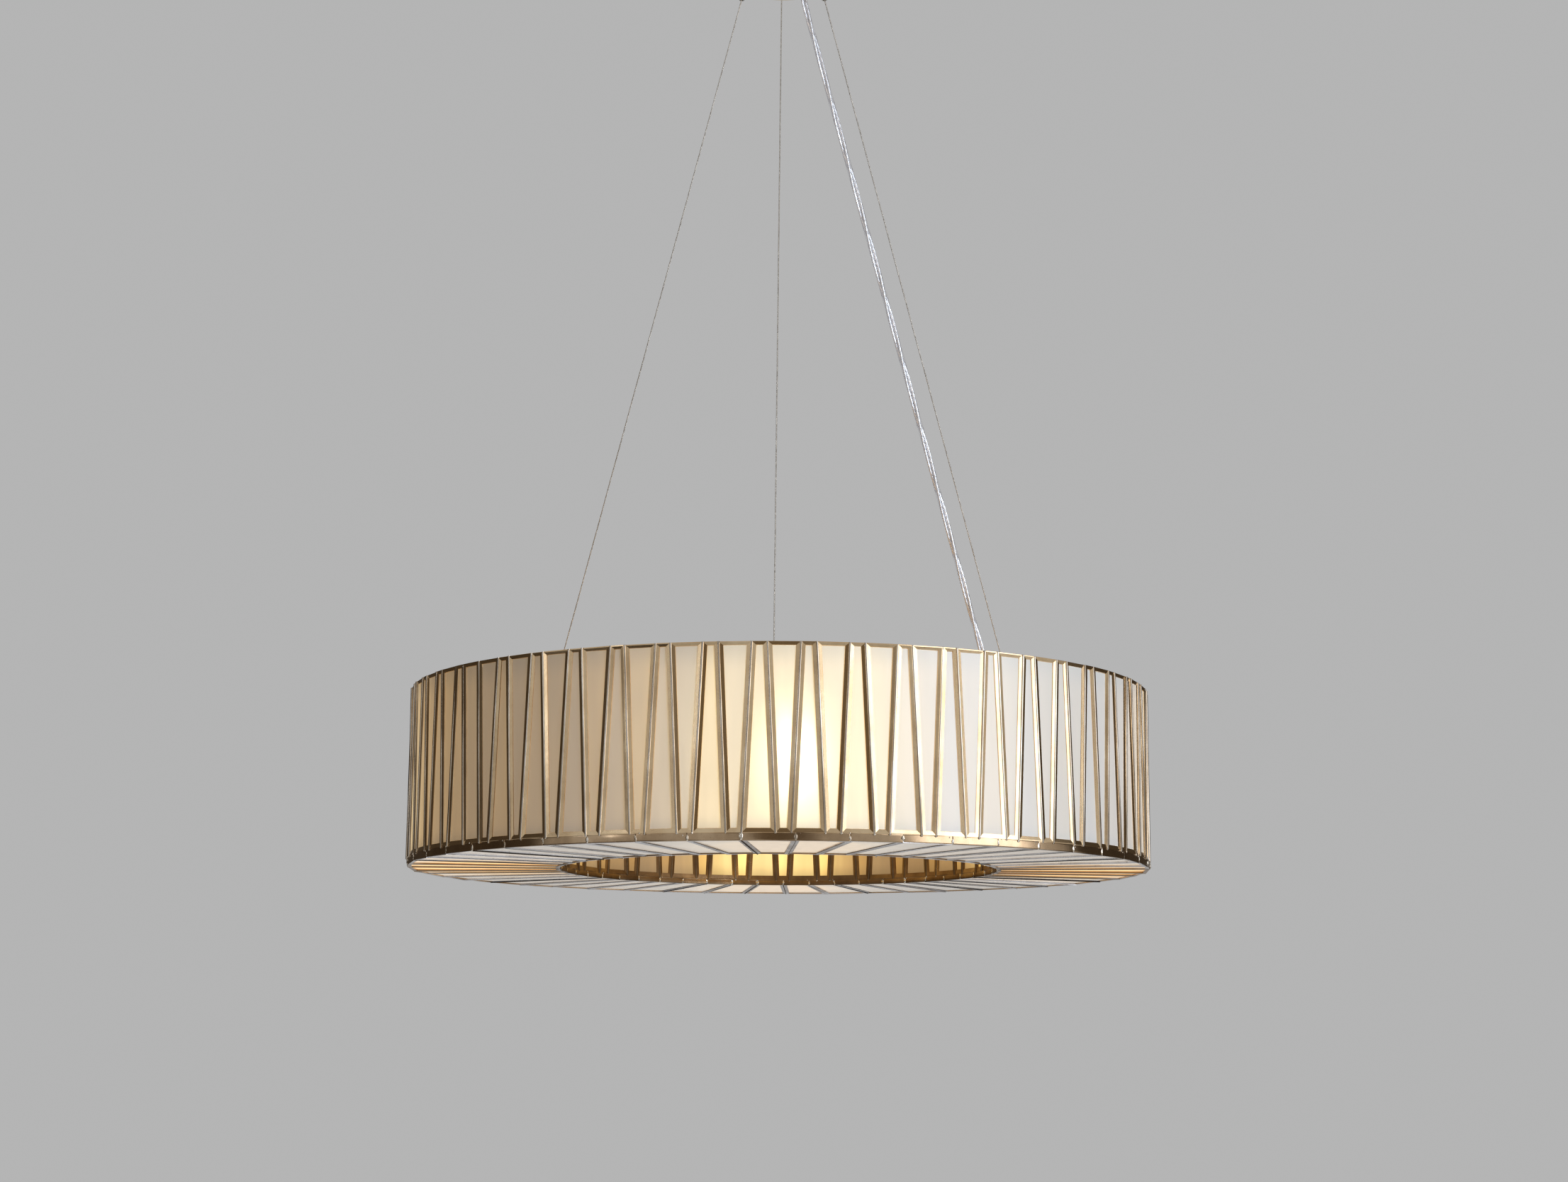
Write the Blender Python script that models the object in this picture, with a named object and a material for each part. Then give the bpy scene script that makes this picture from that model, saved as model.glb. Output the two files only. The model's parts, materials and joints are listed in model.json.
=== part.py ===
"""Ring chandelier: a drum-shaped ring of framed opal glass panes on three steel cables.

Metres, +Z up. The origin is the centre of the ceiling face, and the light hangs below it.
An azimuth of 0 degrees points to the front, -Y, and grows towards +X.
"""
import math

import bmesh
import bpy
from mathutils import Matrix, Vector

# Clearances, the depth that a welded stud is sunk, and the overrun of cuts
GAP = 0.0003
WELD = 0.0005
OVERRUN = 0.002

# Shade ring
OUTER_R = 0.4572
INNER_SHARE = 0.5934
INNER_R = OUTER_R * INNER_SHARE
SHADE_H = 0.216
CAME_T = 0.002
GLASS_T = 0.003

# Outer wall: leaning dividers in pairs, and one closing pane between two that lean alike
OUTER_PAIRS = 53
OUTER_CLOSING_DEG = 4.05
OUTER_START_DEG = -48.04
WIDE_SHARE = 0.68
OUTER_SIDE_FLANGE = 0.0046
OUTER_TOP_FLANGE = 0.0039
OUTER_BOTTOM_FLANGE = 0.0051

# Inner wall
INNER_PAIRS = 31
INNER_START_DEG = 178.74
INNER_SIDE_FLANGE = 0.0036
INNER_TOP_FLANGE = 0.0039
INNER_BOTTOM_FLANGE = 0.0063

# Bottom panels, and the rims that stand up around them
BOTTOM_PANELS = 49
BOTTOM_START_DEG = 2.31
BOTTOM_FLANGE = 0.0043
BOTTOM_OUTER_RIM_H = 0.0082
BOTTOM_INNER_RIM_H = 0.0062

# Carrier: two hoops, crossbars and a ring inside the shade, near its open top
HOOP_T = 0.003
HOOP_H = 0.02
HOOP_TOP_DROP = 0.005
HOOP_SEGMENTS = 48
CROSSBARS = 4
CROSSBAR_START_DEG = 47.3
CROSSBAR_W = 0.012
CROSSBAR_T = 0.004
CROSSBAR_DROP = 0.019
CHANNEL_SHARE = 0.49327
CARRIER_R = INNER_R + (OUTER_R - INNER_R) * CHANNEL_SHARE
CARRIER_W = 0.03
CARRIER_T = 0.004
CARRIER_SEGMENTS = 48

# Lamps
LAMPS = 4
LAMP_START_DEG = 2.3
NIPPLE_R = 0.005
NIPPLE_BORE_R = 0.0035
NIPPLE_BELOW = 0.028
NIPPLE_FLANGE_R = 0.0085
NIPPLE_FLANGE_T = 0.0025
SOCKET_R = 0.019
SOCKET_NECK_R = 0.0105
SOCKET_BODY_H = 0.038
SOCKET_H = 0.046
SOCKET_BORE_R = 0.0138
SOCKET_BORE_H = 0.036
NIPPLE_ENGAGED = 0.006
CAP_R = 0.013
CAP_BOTTOM = 0.002
CAP_BODY_H = 0.022
CAP_TAPER_H = 0.004
CAP_TOP_R = 0.0055
CAP_MOUTH_R = 0.0035
CONTACT_R = 0.0045
CONTACT_H = 0.0025
GLOBE_R = 0.03
GLOBE_H = 0.08
GLOBE_WALL = 0.0012
ROUND_SEGMENTS = 12
GLOBE_SEGMENTS = 14
# Bulb outline as shares of its radius and its height, neck first
GLOBE_SHARES = (
    (0.43, 0.0),
    (0.47, 0.14),
    (0.72, 0.34),
    (0.97, 0.54),
    (0.98, 0.7),
    (0.76, 0.88),
    (0.38, 0.98),
    (0.0, 1.0),
)

# Wiring on the carrier ring
LEAD_R = 0.002
LEAD_OUTWARD = 0.0115
LEAD_TRACK_R = CARRIER_R + LEAD_OUTWARD
LEAD_SEGMENT_DEG = 7.5
GLAND_DEG = 127.6
GLAND_INWARD = 0.0068
GLAND_TRACK_R = CARRIER_R - GLAND_INWARD
HOUSING_L = 0.044
HOUSING_H = 0.016
HOUSING_WALL = 0.0012
GLAND_BASE_R = 0.0072
GLAND_TIP_R = 0.0052
GLAND_BASE_H = 0.006
GLAND_H = 0.026

# Suspension
CABLES = 3
CABLE_START_DEG = -1.0
CABLE_R = 0.0008
SUSPENSION_DROP = 1.18
COUPLER_INWARD = 0.003
COUPLER_TRACK_R = CARRIER_R - COUPLER_INWARD
COUPLER_R = 0.0052
COUPLER_TIP_R = 0.0022
COUPLER_BODY_H = 0.012
COUPLER_H = 0.019
COUPLER_FLANGE_R = 0.0085
COUPLER_FLANGE_T = 0.003
GRIPPER_R = 0.007
GRIPPER_H = 0.014
GRIPPER_THREAD_R = 0.005
GRIPPER_THREAD_H = 0.01
GRIPPER_BORE_R = 0.0038
GRIPPER_BORE_H = 0.012
PLUNGER_R = 0.0035
PLUNGER_BORE_R = 0.0017
PLUNGER_OUT = 0.005
PLUNGER_IN = 0.008
PLUNGER_TRAVEL = 0.002
CABLE_IN_PLUNGER = 0.003
LOCKNUT_R = 0.0085
LOCKNUT_T = 0.003
NUT_SIDES = 6

# Canopy
CANOPY_R = 0.08
CANOPY_H = 0.028
CANOPY_WALL = 0.0015
CANOPY_EDGE = 0.004
CANOPY_SEGMENTS = 36
GRIPPER_INWARD = 0.0163
GRIPPER_TRACK_R = CANOPY_R - GRIPPER_INWARD
STRAP_L = 0.1
STRAP_W = 0.022
STRAP_T = 0.0025
BOX_SCREW_TRACK = 0.026
BOX_SCREW_R = 0.0021
CANOPY_STUD_TRACK = 0.041
CANOPY_STUD_R = 0.002
CANOPY_STUD_BELOW = 0.006
CAP_NUT_R = 0.006
CAP_NUT_H = 0.01
CAP_NUT_BORE_R = 0.0024
CAP_NUT_BORE_H = 0.0065
TERMINAL_L = 0.024
TERMINAL_W = 0.016
TERMINAL_H = 0.011
GRIP_TRACK_R = 0.0314
GRIP_DEG = 119.8
GRIP_R = 0.009
GRIP_H = 0.006
GRIP_THREAD_R = 0.006
GRIP_THREAD_H = 0.0095
TAIL_R = 0.002

# Power cord: clear jacket, eight millimetres thick, held taut beside one cable
CORD_R = 0.004
CORD_POINT_STEP = 0.02
CORD_ROUTE = (
    (0.2822, 0.2173, -0.9638),
    (0.2822, 0.2173, -0.9538),
    (0.2818, 0.2170, -0.9438),
    (0.2807, 0.2162, -0.9338),
    (0.2789, 0.2148, -0.9238),
    (0.2762, 0.2128, -0.9131),
    (0.2551, 0.1961, -0.8400),
    (0.2320, 0.1778, -0.7600),
    (0.2088, 0.1594, -0.6800),
    (0.1857, 0.1411, -0.6000),
    (0.1626, 0.1228, -0.5200),
    (0.1395, 0.1045, -0.4400),
    (0.1164, 0.0862, -0.3600),
    (0.0932, 0.0679, -0.2800),
    (0.0701, 0.0496, -0.2000),
    (0.0470, 0.0313, -0.1200),
    (0.0311, 0.0187, -0.0650),
    (0.0287, 0.0168, -0.0550),
    (0.0275, 0.0158, -0.0450),
    (0.0272, 0.0156, -0.0393),
    (0.0272, 0.0156, -0.0343),
)

# Heights that the pieces share
SHADE_BOTTOM_Z = -(CANOPY_H + SUSPENSION_DROP)
CROSSBAR_TOP = SHADE_H - CROSSBAR_DROP
CARRIER_BOTTOM = CROSSBAR_TOP + GAP
CARRIER_TOP = CARRIER_BOTTOM + CARRIER_T
SOCKET_RIM = CARRIER_BOTTOM - NIPPLE_BELOW + NIPPLE_ENGAGED - SOCKET_H


def clear_scene():
    """Remove whatever the file holds, so that the model starts empty."""
    for item in list(bpy.data.objects):
        bpy.data.objects.remove(item, do_unlink=True)


def finish_material(name, colour, metallic, roughness, transmission=0.0):
    """Return a Principled material with a plain colour."""
    material = bpy.data.materials.new(name)
    material.use_nodes = True
    shader = material.node_tree.nodes["Principled BSDF"]
    shader.inputs["Base Color"].default_value = (*colour, 1.0)
    shader.inputs["Metallic"].default_value = metallic
    shader.inputs["Roughness"].default_value = roughness
    shader.inputs["Transmission Weight"].default_value = transmission
    return material


def polar(radius, azimuth_deg, height=0.0):
    """Return the point at a radius and an azimuth from the front."""
    angle = math.radians(azimuth_deg)
    return Vector((radius * math.sin(angle), -radius * math.cos(angle), height))


def add_node(name, mesh_data, material, parent, location=None):
    """Wrap a bmesh in a named object under its parent."""
    mesh = bpy.data.meshes.new(name)
    mesh_data.to_mesh(mesh)
    mesh_data.free()
    mesh.materials.append(material)
    node = bpy.data.objects.new(name, mesh)
    bpy.context.scene.collection.objects.link(node)
    node.parent = parent
    if location is not None:
        node.location = location
    return node


def smooth_round(node):
    """Shade a turned piece smooth, with its real edges kept sharp."""
    node.data.shade_smooth()
    node.data.set_sharp_from_angle(angle=math.radians(35.0))


def add_empty(name, height):
    """Return an empty on the light's axis."""
    empty = bpy.data.objects.new(name, None)
    empty.location = (0.0, 0.0, height)
    bpy.context.scene.collection.objects.link(empty)
    return empty


def turn(mesh_data, profile, segments, centre=None, closed=False, start_deg=0.0):
    """Spin a profile of (radius, height) points around a vertical axis."""
    middle = Vector((0.0, 0.0, 0.0)) if centre is None else Vector(centre)
    side = Matrix.Rotation(math.radians(start_deg), 3, "Z") @ Vector((1.0, 0.0, 0.0))
    points = [mesh_data.verts.new(middle + side * r + Vector((0.0, 0.0, z))) for r, z in profile]
    pairs = list(zip(points, points[1:]))
    if closed:
        pairs.append((points[-1], points[0]))
    edges = [mesh_data.edges.new(pair) for pair in pairs]
    bmesh.ops.spin(
        mesh_data,
        geom=points + edges,
        cent=middle,
        axis=(0.0, 0.0, 1.0),
        angle=math.tau,
        steps=segments,
        use_merge=True,
    )
    close_mesh(mesh_data)


def turned(name, profile, segments, material, parent, location, closed=False):
    """Return a turned piece as a node of its own."""
    mesh_data = bmesh.new()
    turn(mesh_data, profile, segments, closed=closed)
    node = add_node(name, mesh_data, material, parent, location)
    smooth_round(node)
    return node


def add_bar(mesh_data, size, centre, azimuth_deg=0.0):
    """Add a square-edged bar, its first size along the radius at its azimuth."""
    turn_z = Matrix.Rotation(math.radians(azimuth_deg - 90.0), 4, "Z")
    scale = Matrix.Diagonal((*size, 1.0))
    bmesh.ops.create_cube(mesh_data, size=1.0, matrix=Matrix.Translation(centre) @ turn_z @ scale)


def inset_corners(corners, widths):
    """Move the sides of a flat outline inwards, each by its own width."""
    count = len(corners)
    moved = []
    for index, corner in enumerate(corners):
        back = (corners[index - 1] - corner).normalized()
        ahead = (corners[(index + 1) % count] - corner).normalized()
        sine = back.cross(ahead).length
        moved.append(corner + back * (widths[index] / sine) + ahead * (widths[index - 1] / sine))
    return moved


def add_strip(mesh_data, first, second, sides):
    """Face the strip between two outlines, along some of their sides."""
    count = len(first)
    for side in sides:
        after = (side + 1) % count
        corners = (first[side], first[after], second[after], second[side])
        mesh_data.faces.new([mesh_data.verts.new(point) for point in corners])


def close_mesh(mesh_data):
    """Join the strips' shared corners and turn every face outwards."""
    bmesh.ops.remove_doubles(mesh_data, verts=mesh_data.verts[:], dist=GAP / 100.0)
    bmesh.ops.recalc_face_normals(mesh_data, faces=mesh_data.faces[:])


def divider_azimuths(start_deg, pairs, closing_deg):
    """Return the (bottom, top) azimuths of the leaning dividers around a wall."""
    half_pitch = (360.0 - closing_deg) / (2 * pairs)
    lean = (WIDE_SHARE - 0.5) * half_pitch
    count = 2 * pairs + (1 if closing_deg else 0)
    dividers = []
    for index in range(count):
        middle = start_deg + index * half_pitch
        side = lean if index % 2 else -lean
        dividers.append((middle - side, middle + side))
    return dividers


def wall_outlines(radius, low, high, dividers):
    """Return each pane's four corners on one face of a wall."""
    outlines = []
    for index, left in enumerate(dividers):
        right = dividers[(index + 1) % len(dividers)]
        outlines.append((
            polar(radius, left[0], low),
            polar(radius, right[0], low),
            polar(radius, right[1], high),
            polar(radius, left[1], high),
        ))
    return outlines


def make_wall_came(name, face_r, rear_r, low, dividers, flanges, brass, shade):
    """Make a wall's soldered came, a lattice with one opening for each pane."""
    came = bmesh.new()
    faces = wall_outlines(face_r, low, SHADE_H, dividers)
    rears = wall_outlines(rear_r, low, SHADE_H, dividers)
    for face, rear in zip(faces, rears):
        face_opening = inset_corners(face, flanges)
        rear_opening = inset_corners(rear, flanges)
        add_strip(came, face, face_opening, range(4))
        add_strip(came, face_opening, rear_opening, range(4))
        add_strip(came, rear_opening, rear, range(4))
        add_strip(came, rear, face, (0, 2))
    close_mesh(came)
    add_node(name, came, brass, shade)


def make_wall_glass(name, face_r, rear_r, low, dividers, glass, shade):
    """Make a wall's panes, joined edge to edge behind the came."""
    panes = bmesh.new()
    faces = wall_outlines(face_r, low, SHADE_H, dividers)
    rears = wall_outlines(rear_r, low, SHADE_H, dividers)
    for face, rear in zip(faces, rears):
        for outline in (face, rear):
            panes.faces.new([panes.verts.new(point) for point in outline])
        add_strip(panes, rear, face, (0, 2))
    close_mesh(panes)
    add_node(name, panes, glass, shade)


def make_outer_wall(brass, glass, shade):
    dividers = divider_azimuths(OUTER_START_DEG, OUTER_PAIRS, OUTER_CLOSING_DEG)
    flanges = (OUTER_BOTTOM_FLANGE, OUTER_SIDE_FLANGE, OUTER_TOP_FLANGE, OUTER_SIDE_FLANGE)
    low = BOTTOM_OUTER_RIM_H + GAP
    came_rear = OUTER_R - CAME_T
    make_wall_came("outer_came", OUTER_R, came_rear, low, dividers, flanges, brass, shade)
    glass_face = came_rear - GAP
    make_wall_glass("outer_glass", glass_face, glass_face - GLASS_T, low, dividers, glass, shade)


def make_inner_wall(brass, glass, shade):
    half_pitch = 180.0 / INNER_PAIRS
    dividers = divider_azimuths(INNER_START_DEG - half_pitch / 2.0, INNER_PAIRS, 0.0)
    flanges = (INNER_BOTTOM_FLANGE, INNER_SIDE_FLANGE, INNER_TOP_FLANGE, INNER_SIDE_FLANGE)
    low = BOTTOM_INNER_RIM_H + GAP
    came_rear = INNER_R + CAME_T
    make_wall_came("inner_came", INNER_R, came_rear, low, dividers, flanges, brass, shade)
    glass_face = came_rear + GAP
    make_wall_glass("inner_glass", glass_face, glass_face + GLASS_T, low, dividers, glass, shade)


def ring_outline(inner_r, outer_r, left_deg, right_deg, height):
    """Return the four corners of one flat panel of a ring."""
    return (
        polar(inner_r, left_deg, height),
        polar(inner_r, right_deg, height),
        polar(outer_r, right_deg, height),
        polar(outer_r, left_deg, height),
    )


def bottom_azimuths():
    """Return the (left, right) azimuths of the bottom's panels."""
    pitch = 360.0 / BOTTOM_PANELS
    return [(BOTTOM_START_DEG + i * pitch, BOTTOM_START_DEG + (i + 1) * pitch) for i in range(BOTTOM_PANELS)]


def make_bottom(brass, glass, shade):
    """Make the bottom came with a rim at each edge, and the panes that lie on it."""
    came = bmesh.new()
    panes = bmesh.new()
    low = CAME_T + GAP
    for left, right in bottom_azimuths():
        face = ring_outline(INNER_R, OUTER_R, left, right, 0.0)
        opening = inset_corners(face, [BOTTOM_FLANGE] * len(face))
        raised = [point + Vector((0.0, 0.0, CAME_T)) for point in opening]
        seat = ring_outline(INNER_R + CAME_T, OUTER_R - CAME_T, left, right, CAME_T)
        add_strip(came, face, opening, range(4))
        add_strip(came, opening, raised, range(4))
        add_strip(came, raised, seat, range(4))
        for side, rim_h in ((0, BOTTOM_INNER_RIM_H), (2, BOTTOM_OUTER_RIM_H)):
            rim_face = ring_outline(INNER_R, OUTER_R, left, right, rim_h)
            rim_rear = ring_outline(INNER_R + CAME_T, OUTER_R - CAME_T, left, right, rim_h)
            add_strip(came, face, rim_face, (side,))
            add_strip(came, rim_face, rim_rear, (side,))
            add_strip(came, rim_rear, seat, (side,))
        inside = INNER_R + CAME_T + GAP
        outside = OUTER_R - CAME_T - GAP
        under = ring_outline(inside, outside, left, right, low)
        over = ring_outline(inside, outside, left, right, low + GLASS_T)
        for outline in (under, over):
            panes.faces.new([panes.verts.new(point) for point in outline])
        add_strip(panes, under, over, (0, 2))
    close_mesh(came)
    close_mesh(panes)
    add_node("bottom_came", came, brass, shade)
    add_node("bottom_glass", panes, glass, shade)


def wall_inside_radius():
    """Return the distance from the axis to the outer wall's inner faces."""
    half_wide = math.radians(WIDE_SHARE * (360.0 - OUTER_CLOSING_DEG) / OUTER_PAIRS / 2.0)
    return (OUTER_R - CAME_T - GAP - GLASS_T) * math.cos(half_wide)


def hoop_radii():
    """Return the inside radii of the hoop behind the outer wall and of that behind the inner."""
    behind_outer = wall_inside_radius() - GAP - HOOP_T
    behind_inner = (INNER_R + CAME_T + GAP + GLASS_T + GAP) / math.cos(math.pi / HOOP_SEGMENTS)
    return behind_outer, behind_inner


def ring_profile(inside_r, thickness, low, high):
    """Return the square section of a ring as (radius, height) points."""
    return (
        (inside_r, low),
        (inside_r + thickness, low),
        (inside_r + thickness, high),
        (inside_r, high),
    )


def add_helper(name, mesh_data, material, parent):
    """Wrap a bmesh in a helper object that only Booleans read."""
    helper = add_node(name, mesh_data, material, parent)
    helper.hide_render = True
    helper.display_type = "WIRE"
    return helper


def combine(node, helper, operation):
    """Add a Boolean to a node."""
    boolean = node.modifiers.new(helper.name, "BOOLEAN")
    boolean.object = helper
    boolean.operation = operation
    boolean.solver = "EXACT"


def make_hoops(brass, shade):
    """Make the hoop inside each wall, which the crossbars join."""
    top = SHADE_H - HOOP_TOP_DROP
    for name, inside_r in zip(("outer_hoop", "inner_hoop"), hoop_radii()):
        profile = ring_profile(inside_r, HOOP_T, top - HOOP_H, top)
        turned(name, profile, HOOP_SEGMENTS, brass, shade, None, closed=True)


def make_crossbars(brass, shade):
    outer_inside, inner_inside = hoop_radii()
    start = inner_inside + HOOP_T + GAP
    end = outer_inside * math.cos(math.pi / HOOP_SEGMENTS) - 2.0 * GAP
    for number in range(1, CROSSBARS + 1):
        azimuth = CROSSBAR_START_DEG + (number - 1) * 360.0 / CROSSBARS
        bar = bmesh.new()
        centre = polar((start + end) / 2.0, azimuth, CROSSBAR_TOP - CROSSBAR_T / 2.0)
        add_bar(bar, (end - start, CROSSBAR_W, CROSSBAR_T), centre, azimuth)
        add_node("crossbar_%d" % number, bar, brass, shade)


def make_carrier_ring(brass, shade):
    """Make the flat ring on the crossbars that carries the lamps and the cables."""
    profile = ring_profile(CARRIER_R - CARRIER_W / 2.0, CARRIER_W, CARRIER_BOTTOM, CARRIER_TOP)
    ring = turned("carrier_ring", profile, CARRIER_SEGMENTS, brass, shade, None, closed=True)
    holes = [(polar(CARRIER_R, azimuth), NIPPLE_R + GAP) for azimuth in lamp_azimuths()]
    holes += [(polar(COUPLER_TRACK_R, azimuth), COUPLER_R + GAP) for azimuth in cable_azimuths()]
    cut_holes(ring, "carrier_hole_cutter", holes, CARRIER_BOTTOM, CARRIER_TOP, shade)


def lamp_azimuths():
    return [LAMP_START_DEG + index * 360.0 / LAMPS for index in range(LAMPS)]


def cable_azimuths():
    return [CABLE_START_DEG + index * 360.0 / CABLES for index in range(CABLES)]


def cut_holes(node, name, holes, low, high, parent):
    """Cut round holes, given as (centre, radius), through a piece."""
    cutters = bmesh.new()
    for centre, radius in holes:
        place = Matrix.Translation((centre.x, centre.y, (low + high) / 2.0))
        bmesh.ops.create_cone(
            cutters,
            cap_ends=True,
            segments=ROUND_SEGMENTS,
            radius1=radius,
            radius2=radius,
            depth=high - low + 2.0 * OVERRUN,
            matrix=place,
        )
    combine(node, add_helper(name, cutters, node.data.materials[0], parent), "DIFFERENCE")


def make_lamp_nipple(number, azimuth, brass, shade):
    """Make one flanged tube that hangs in the carrier ring and holds a lampholder."""
    low = -NIPPLE_BELOW
    seat = CARRIER_T + GAP
    profile = (
        (NIPPLE_BORE_R, low),
        (NIPPLE_R, low),
        (NIPPLE_R, seat),
        (NIPPLE_FLANGE_R, seat),
        (NIPPLE_FLANGE_R, seat + NIPPLE_FLANGE_T),
        (NIPPLE_BORE_R, seat + NIPPLE_FLANGE_T),
    )
    place = polar(CARRIER_R, azimuth, CARRIER_BOTTOM)
    turned("lamp_nipple_%d" % number, profile, ROUND_SEGMENTS, brass, shade, place, closed=True)


def globe_outline(radius, height):
    """Return a bulb's glass outline, neck first, as (radius, height) points."""
    return [(share_r * radius, CAP_BOTTOM - share_h * height) for share_r, share_h in GLOBE_SHARES]


def make_bulb(number, place, looks, shade):
    """Make one hollow bulb, base up, and the contact on the end of its cap."""
    cap_top = CAP_BOTTOM + CAP_BODY_H + CAP_TAPER_H
    cap_shoulder = CAP_BOTTOM + CAP_BODY_H
    outside = globe_outline(GLOBE_R, GLOBE_H)
    inside = globe_outline(GLOBE_R - GLOBE_WALL, GLOBE_H - GLOBE_WALL)
    cap = [
        (CAP_R, CAP_BOTTOM),
        (CAP_R, cap_shoulder),
        (CAP_TOP_R, cap_top),
        (CAP_MOUTH_R, cap_top),
        (CAP_R - GLOBE_WALL, cap_shoulder - GLOBE_WALL),
    ]
    bulb = outside[::-1] + cap + inside
    turned("bulb_%d" % number, bulb, GLOBE_SEGMENTS, looks["bulb"], shade, place)
    contact = (
        (0.0, cap_top + GAP),
        (CONTACT_R, cap_top + GAP),
        (CONTACT_R, cap_top + GAP + CONTACT_H),
        (0.0, cap_top + GAP + CONTACT_H),
    )
    turned("bulb_contact_%d" % number, contact, ROUND_SEGMENTS, looks["contact"], shade, place)


def make_lamp(number, azimuth, looks, shade):
    """Make one lampholder on its nipple, and its bulb."""
    make_lamp_nipple(number, azimuth, looks["brass"], shade)
    place = polar(CARRIER_R, azimuth, SOCKET_RIM)
    neck_hole_r = NIPPLE_R + GAP
    socket = (
        (SOCKET_BORE_R, 0.0),
        (SOCKET_R, 0.0),
        (SOCKET_R, SOCKET_BODY_H),
        (SOCKET_NECK_R, SOCKET_H),
        (neck_hole_r, SOCKET_H),
        (neck_hole_r, SOCKET_BORE_H),
        (SOCKET_BORE_R, SOCKET_BORE_H),
    )
    name = "lampholder_%d" % number
    turned(name, socket, ROUND_SEGMENTS, looks["porcelain"], shade, place, closed=True)
    make_bulb(number, place, looks, shade)


def add_tube(name, points, radius, material, parent, resolution=2):
    """Sweep a round tube along a route."""
    curve = bpy.data.curves.new(name, "CURVE")
    curve.dimensions = "3D"
    curve.bevel_depth = radius
    curve.bevel_resolution = resolution
    curve.use_fill_caps = True
    curve.materials.append(material)
    spline = curve.splines.new("POLY")
    spline.points.add(len(points) - 1)
    for slot, point in zip(spline.points, points):
        slot.co = (*point, 1.0)
    node = bpy.data.objects.new(name, curve)
    bpy.context.scene.collection.objects.link(node)
    node.parent = parent
    return node


def read_smooth(points, step):
    """Read a smooth curve through the route's points, at even steps along it."""
    knots = [Vector(point) for point in points]
    ends = [2.0 * knots[0] - knots[1]] + knots + [2.0 * knots[-1] - knots[-2]]
    read = []
    for index in range(len(knots) - 1):
        before, start, end, after = ends[index:index + 4]
        count = max(1, round((end - start).length / step))
        for part in range(count):
            t = part / count
            read.append(0.5 * (
                2.0 * start
                + (end - before) * t
                + (2.0 * before - 5.0 * start + 4.0 * end - after) * t ** 2
                + (3.0 * start - before - 3.0 * end + after) * t ** 3
            ))
    read.append(knots[-1])
    return read


def arc_points(radius, start_deg, end_deg, height):
    """Return points along an arc of the ring."""
    count = max(2, round(abs(end_deg - start_deg) / LEAD_SEGMENT_DEG))
    steps = [start_deg + (end_deg - start_deg) * index / count for index in range(count + 1)]
    return [polar(radius, azimuth, height) for azimuth in steps]


def make_splice_housing(brass, shade):
    """Make the box lid, open below, that stands on the carrier ring over the cord's splices."""
    lid = bmesh.new()
    centre = polar(CARRIER_R, GLAND_DEG, CARRIER_TOP + GAP + HOUSING_H / 2.0)
    add_bar(lid, (CARRIER_W, HOUSING_L, HOUSING_H), centre, GLAND_DEG)
    under = min(lid.faces, key=lambda face: face.calc_center_median().z)
    bmesh.ops.inset_region(lid, faces=[under], thickness=HOUSING_WALL)
    bmesh.ops.translate(lid, verts=under.verts[:], vec=(0.0, 0.0, HOUSING_H - HOUSING_WALL))
    add_node("splice_housing", lid, brass, shade)


def make_wiring(looks, shade):
    """Make the splice housing, the cord's gland on it, and the lead that runs round the ring."""
    make_splice_housing(looks["brass"], shade)
    gland = (
        (0.0, GAP),
        (GLAND_BASE_R, GAP),
        (GLAND_BASE_R, GAP + GLAND_BASE_H),
        (GLAND_TIP_R, GAP + GLAND_H),
        (0.0, GAP + GLAND_H),
    )
    place = polar(GLAND_TRACK_R, GLAND_DEG, CARRIER_TOP + GAP + HOUSING_H)
    turned("cord_gland", gland, ROUND_SEGMENTS, looks["rubber"], shade, place)
    housing_edge = math.degrees(math.asin((HOUSING_L / 2.0 + 2.0 * GAP) / LEAD_TRACK_R))
    height = CARRIER_TOP + GAP + LEAD_R
    route = arc_points(LEAD_TRACK_R, GLAND_DEG + housing_edge, GLAND_DEG + 360.0 - housing_edge, height)
    add_tube("lamp_lead", route, LEAD_R, looks["clear"], shade, resolution=1)


def make_coupler(number, azimuth, brass, shade):
    """Make the fitting that a cable's lower end pulls up against the carrier ring."""
    seat = -GAP
    profile = (
        (0.0, seat - COUPLER_FLANGE_T),
        (COUPLER_FLANGE_R, seat - COUPLER_FLANGE_T),
        (COUPLER_FLANGE_R, seat),
        (COUPLER_R, seat),
        (COUPLER_R, CARRIER_T + COUPLER_BODY_H),
        (COUPLER_TIP_R, CARRIER_T + COUPLER_H),
        (0.0, CARRIER_T + COUPLER_H),
    )
    place = polar(COUPLER_TRACK_R, azimuth, CARRIER_BOTTOM)
    turned("cable_coupler_%d" % number, profile, ROUND_SEGMENTS, brass, shade, place)


def make_cable(number, azimuth, steel):
    """Make one taut cable, from its coupler's tip into its gripper's plunger."""
    plunger_foot = -(CANOPY_H + GRIPPER_H + PLUNGER_OUT)
    low = polar(COUPLER_TRACK_R, azimuth, SHADE_BOTTOM_Z + CARRIER_TOP + COUPLER_H)
    middle = polar(GRIPPER_TRACK_R, azimuth, plunger_foot + CABLE_IN_PLUNGER / 2.0)
    along = (middle - low).normalized()
    start = low + along * (2.0 * GAP)
    end = middle + along * (CABLE_IN_PLUNGER / 2.0)
    add_tube("suspension_cable_%d" % number, (start, end), CABLE_R, steel, None)


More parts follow.
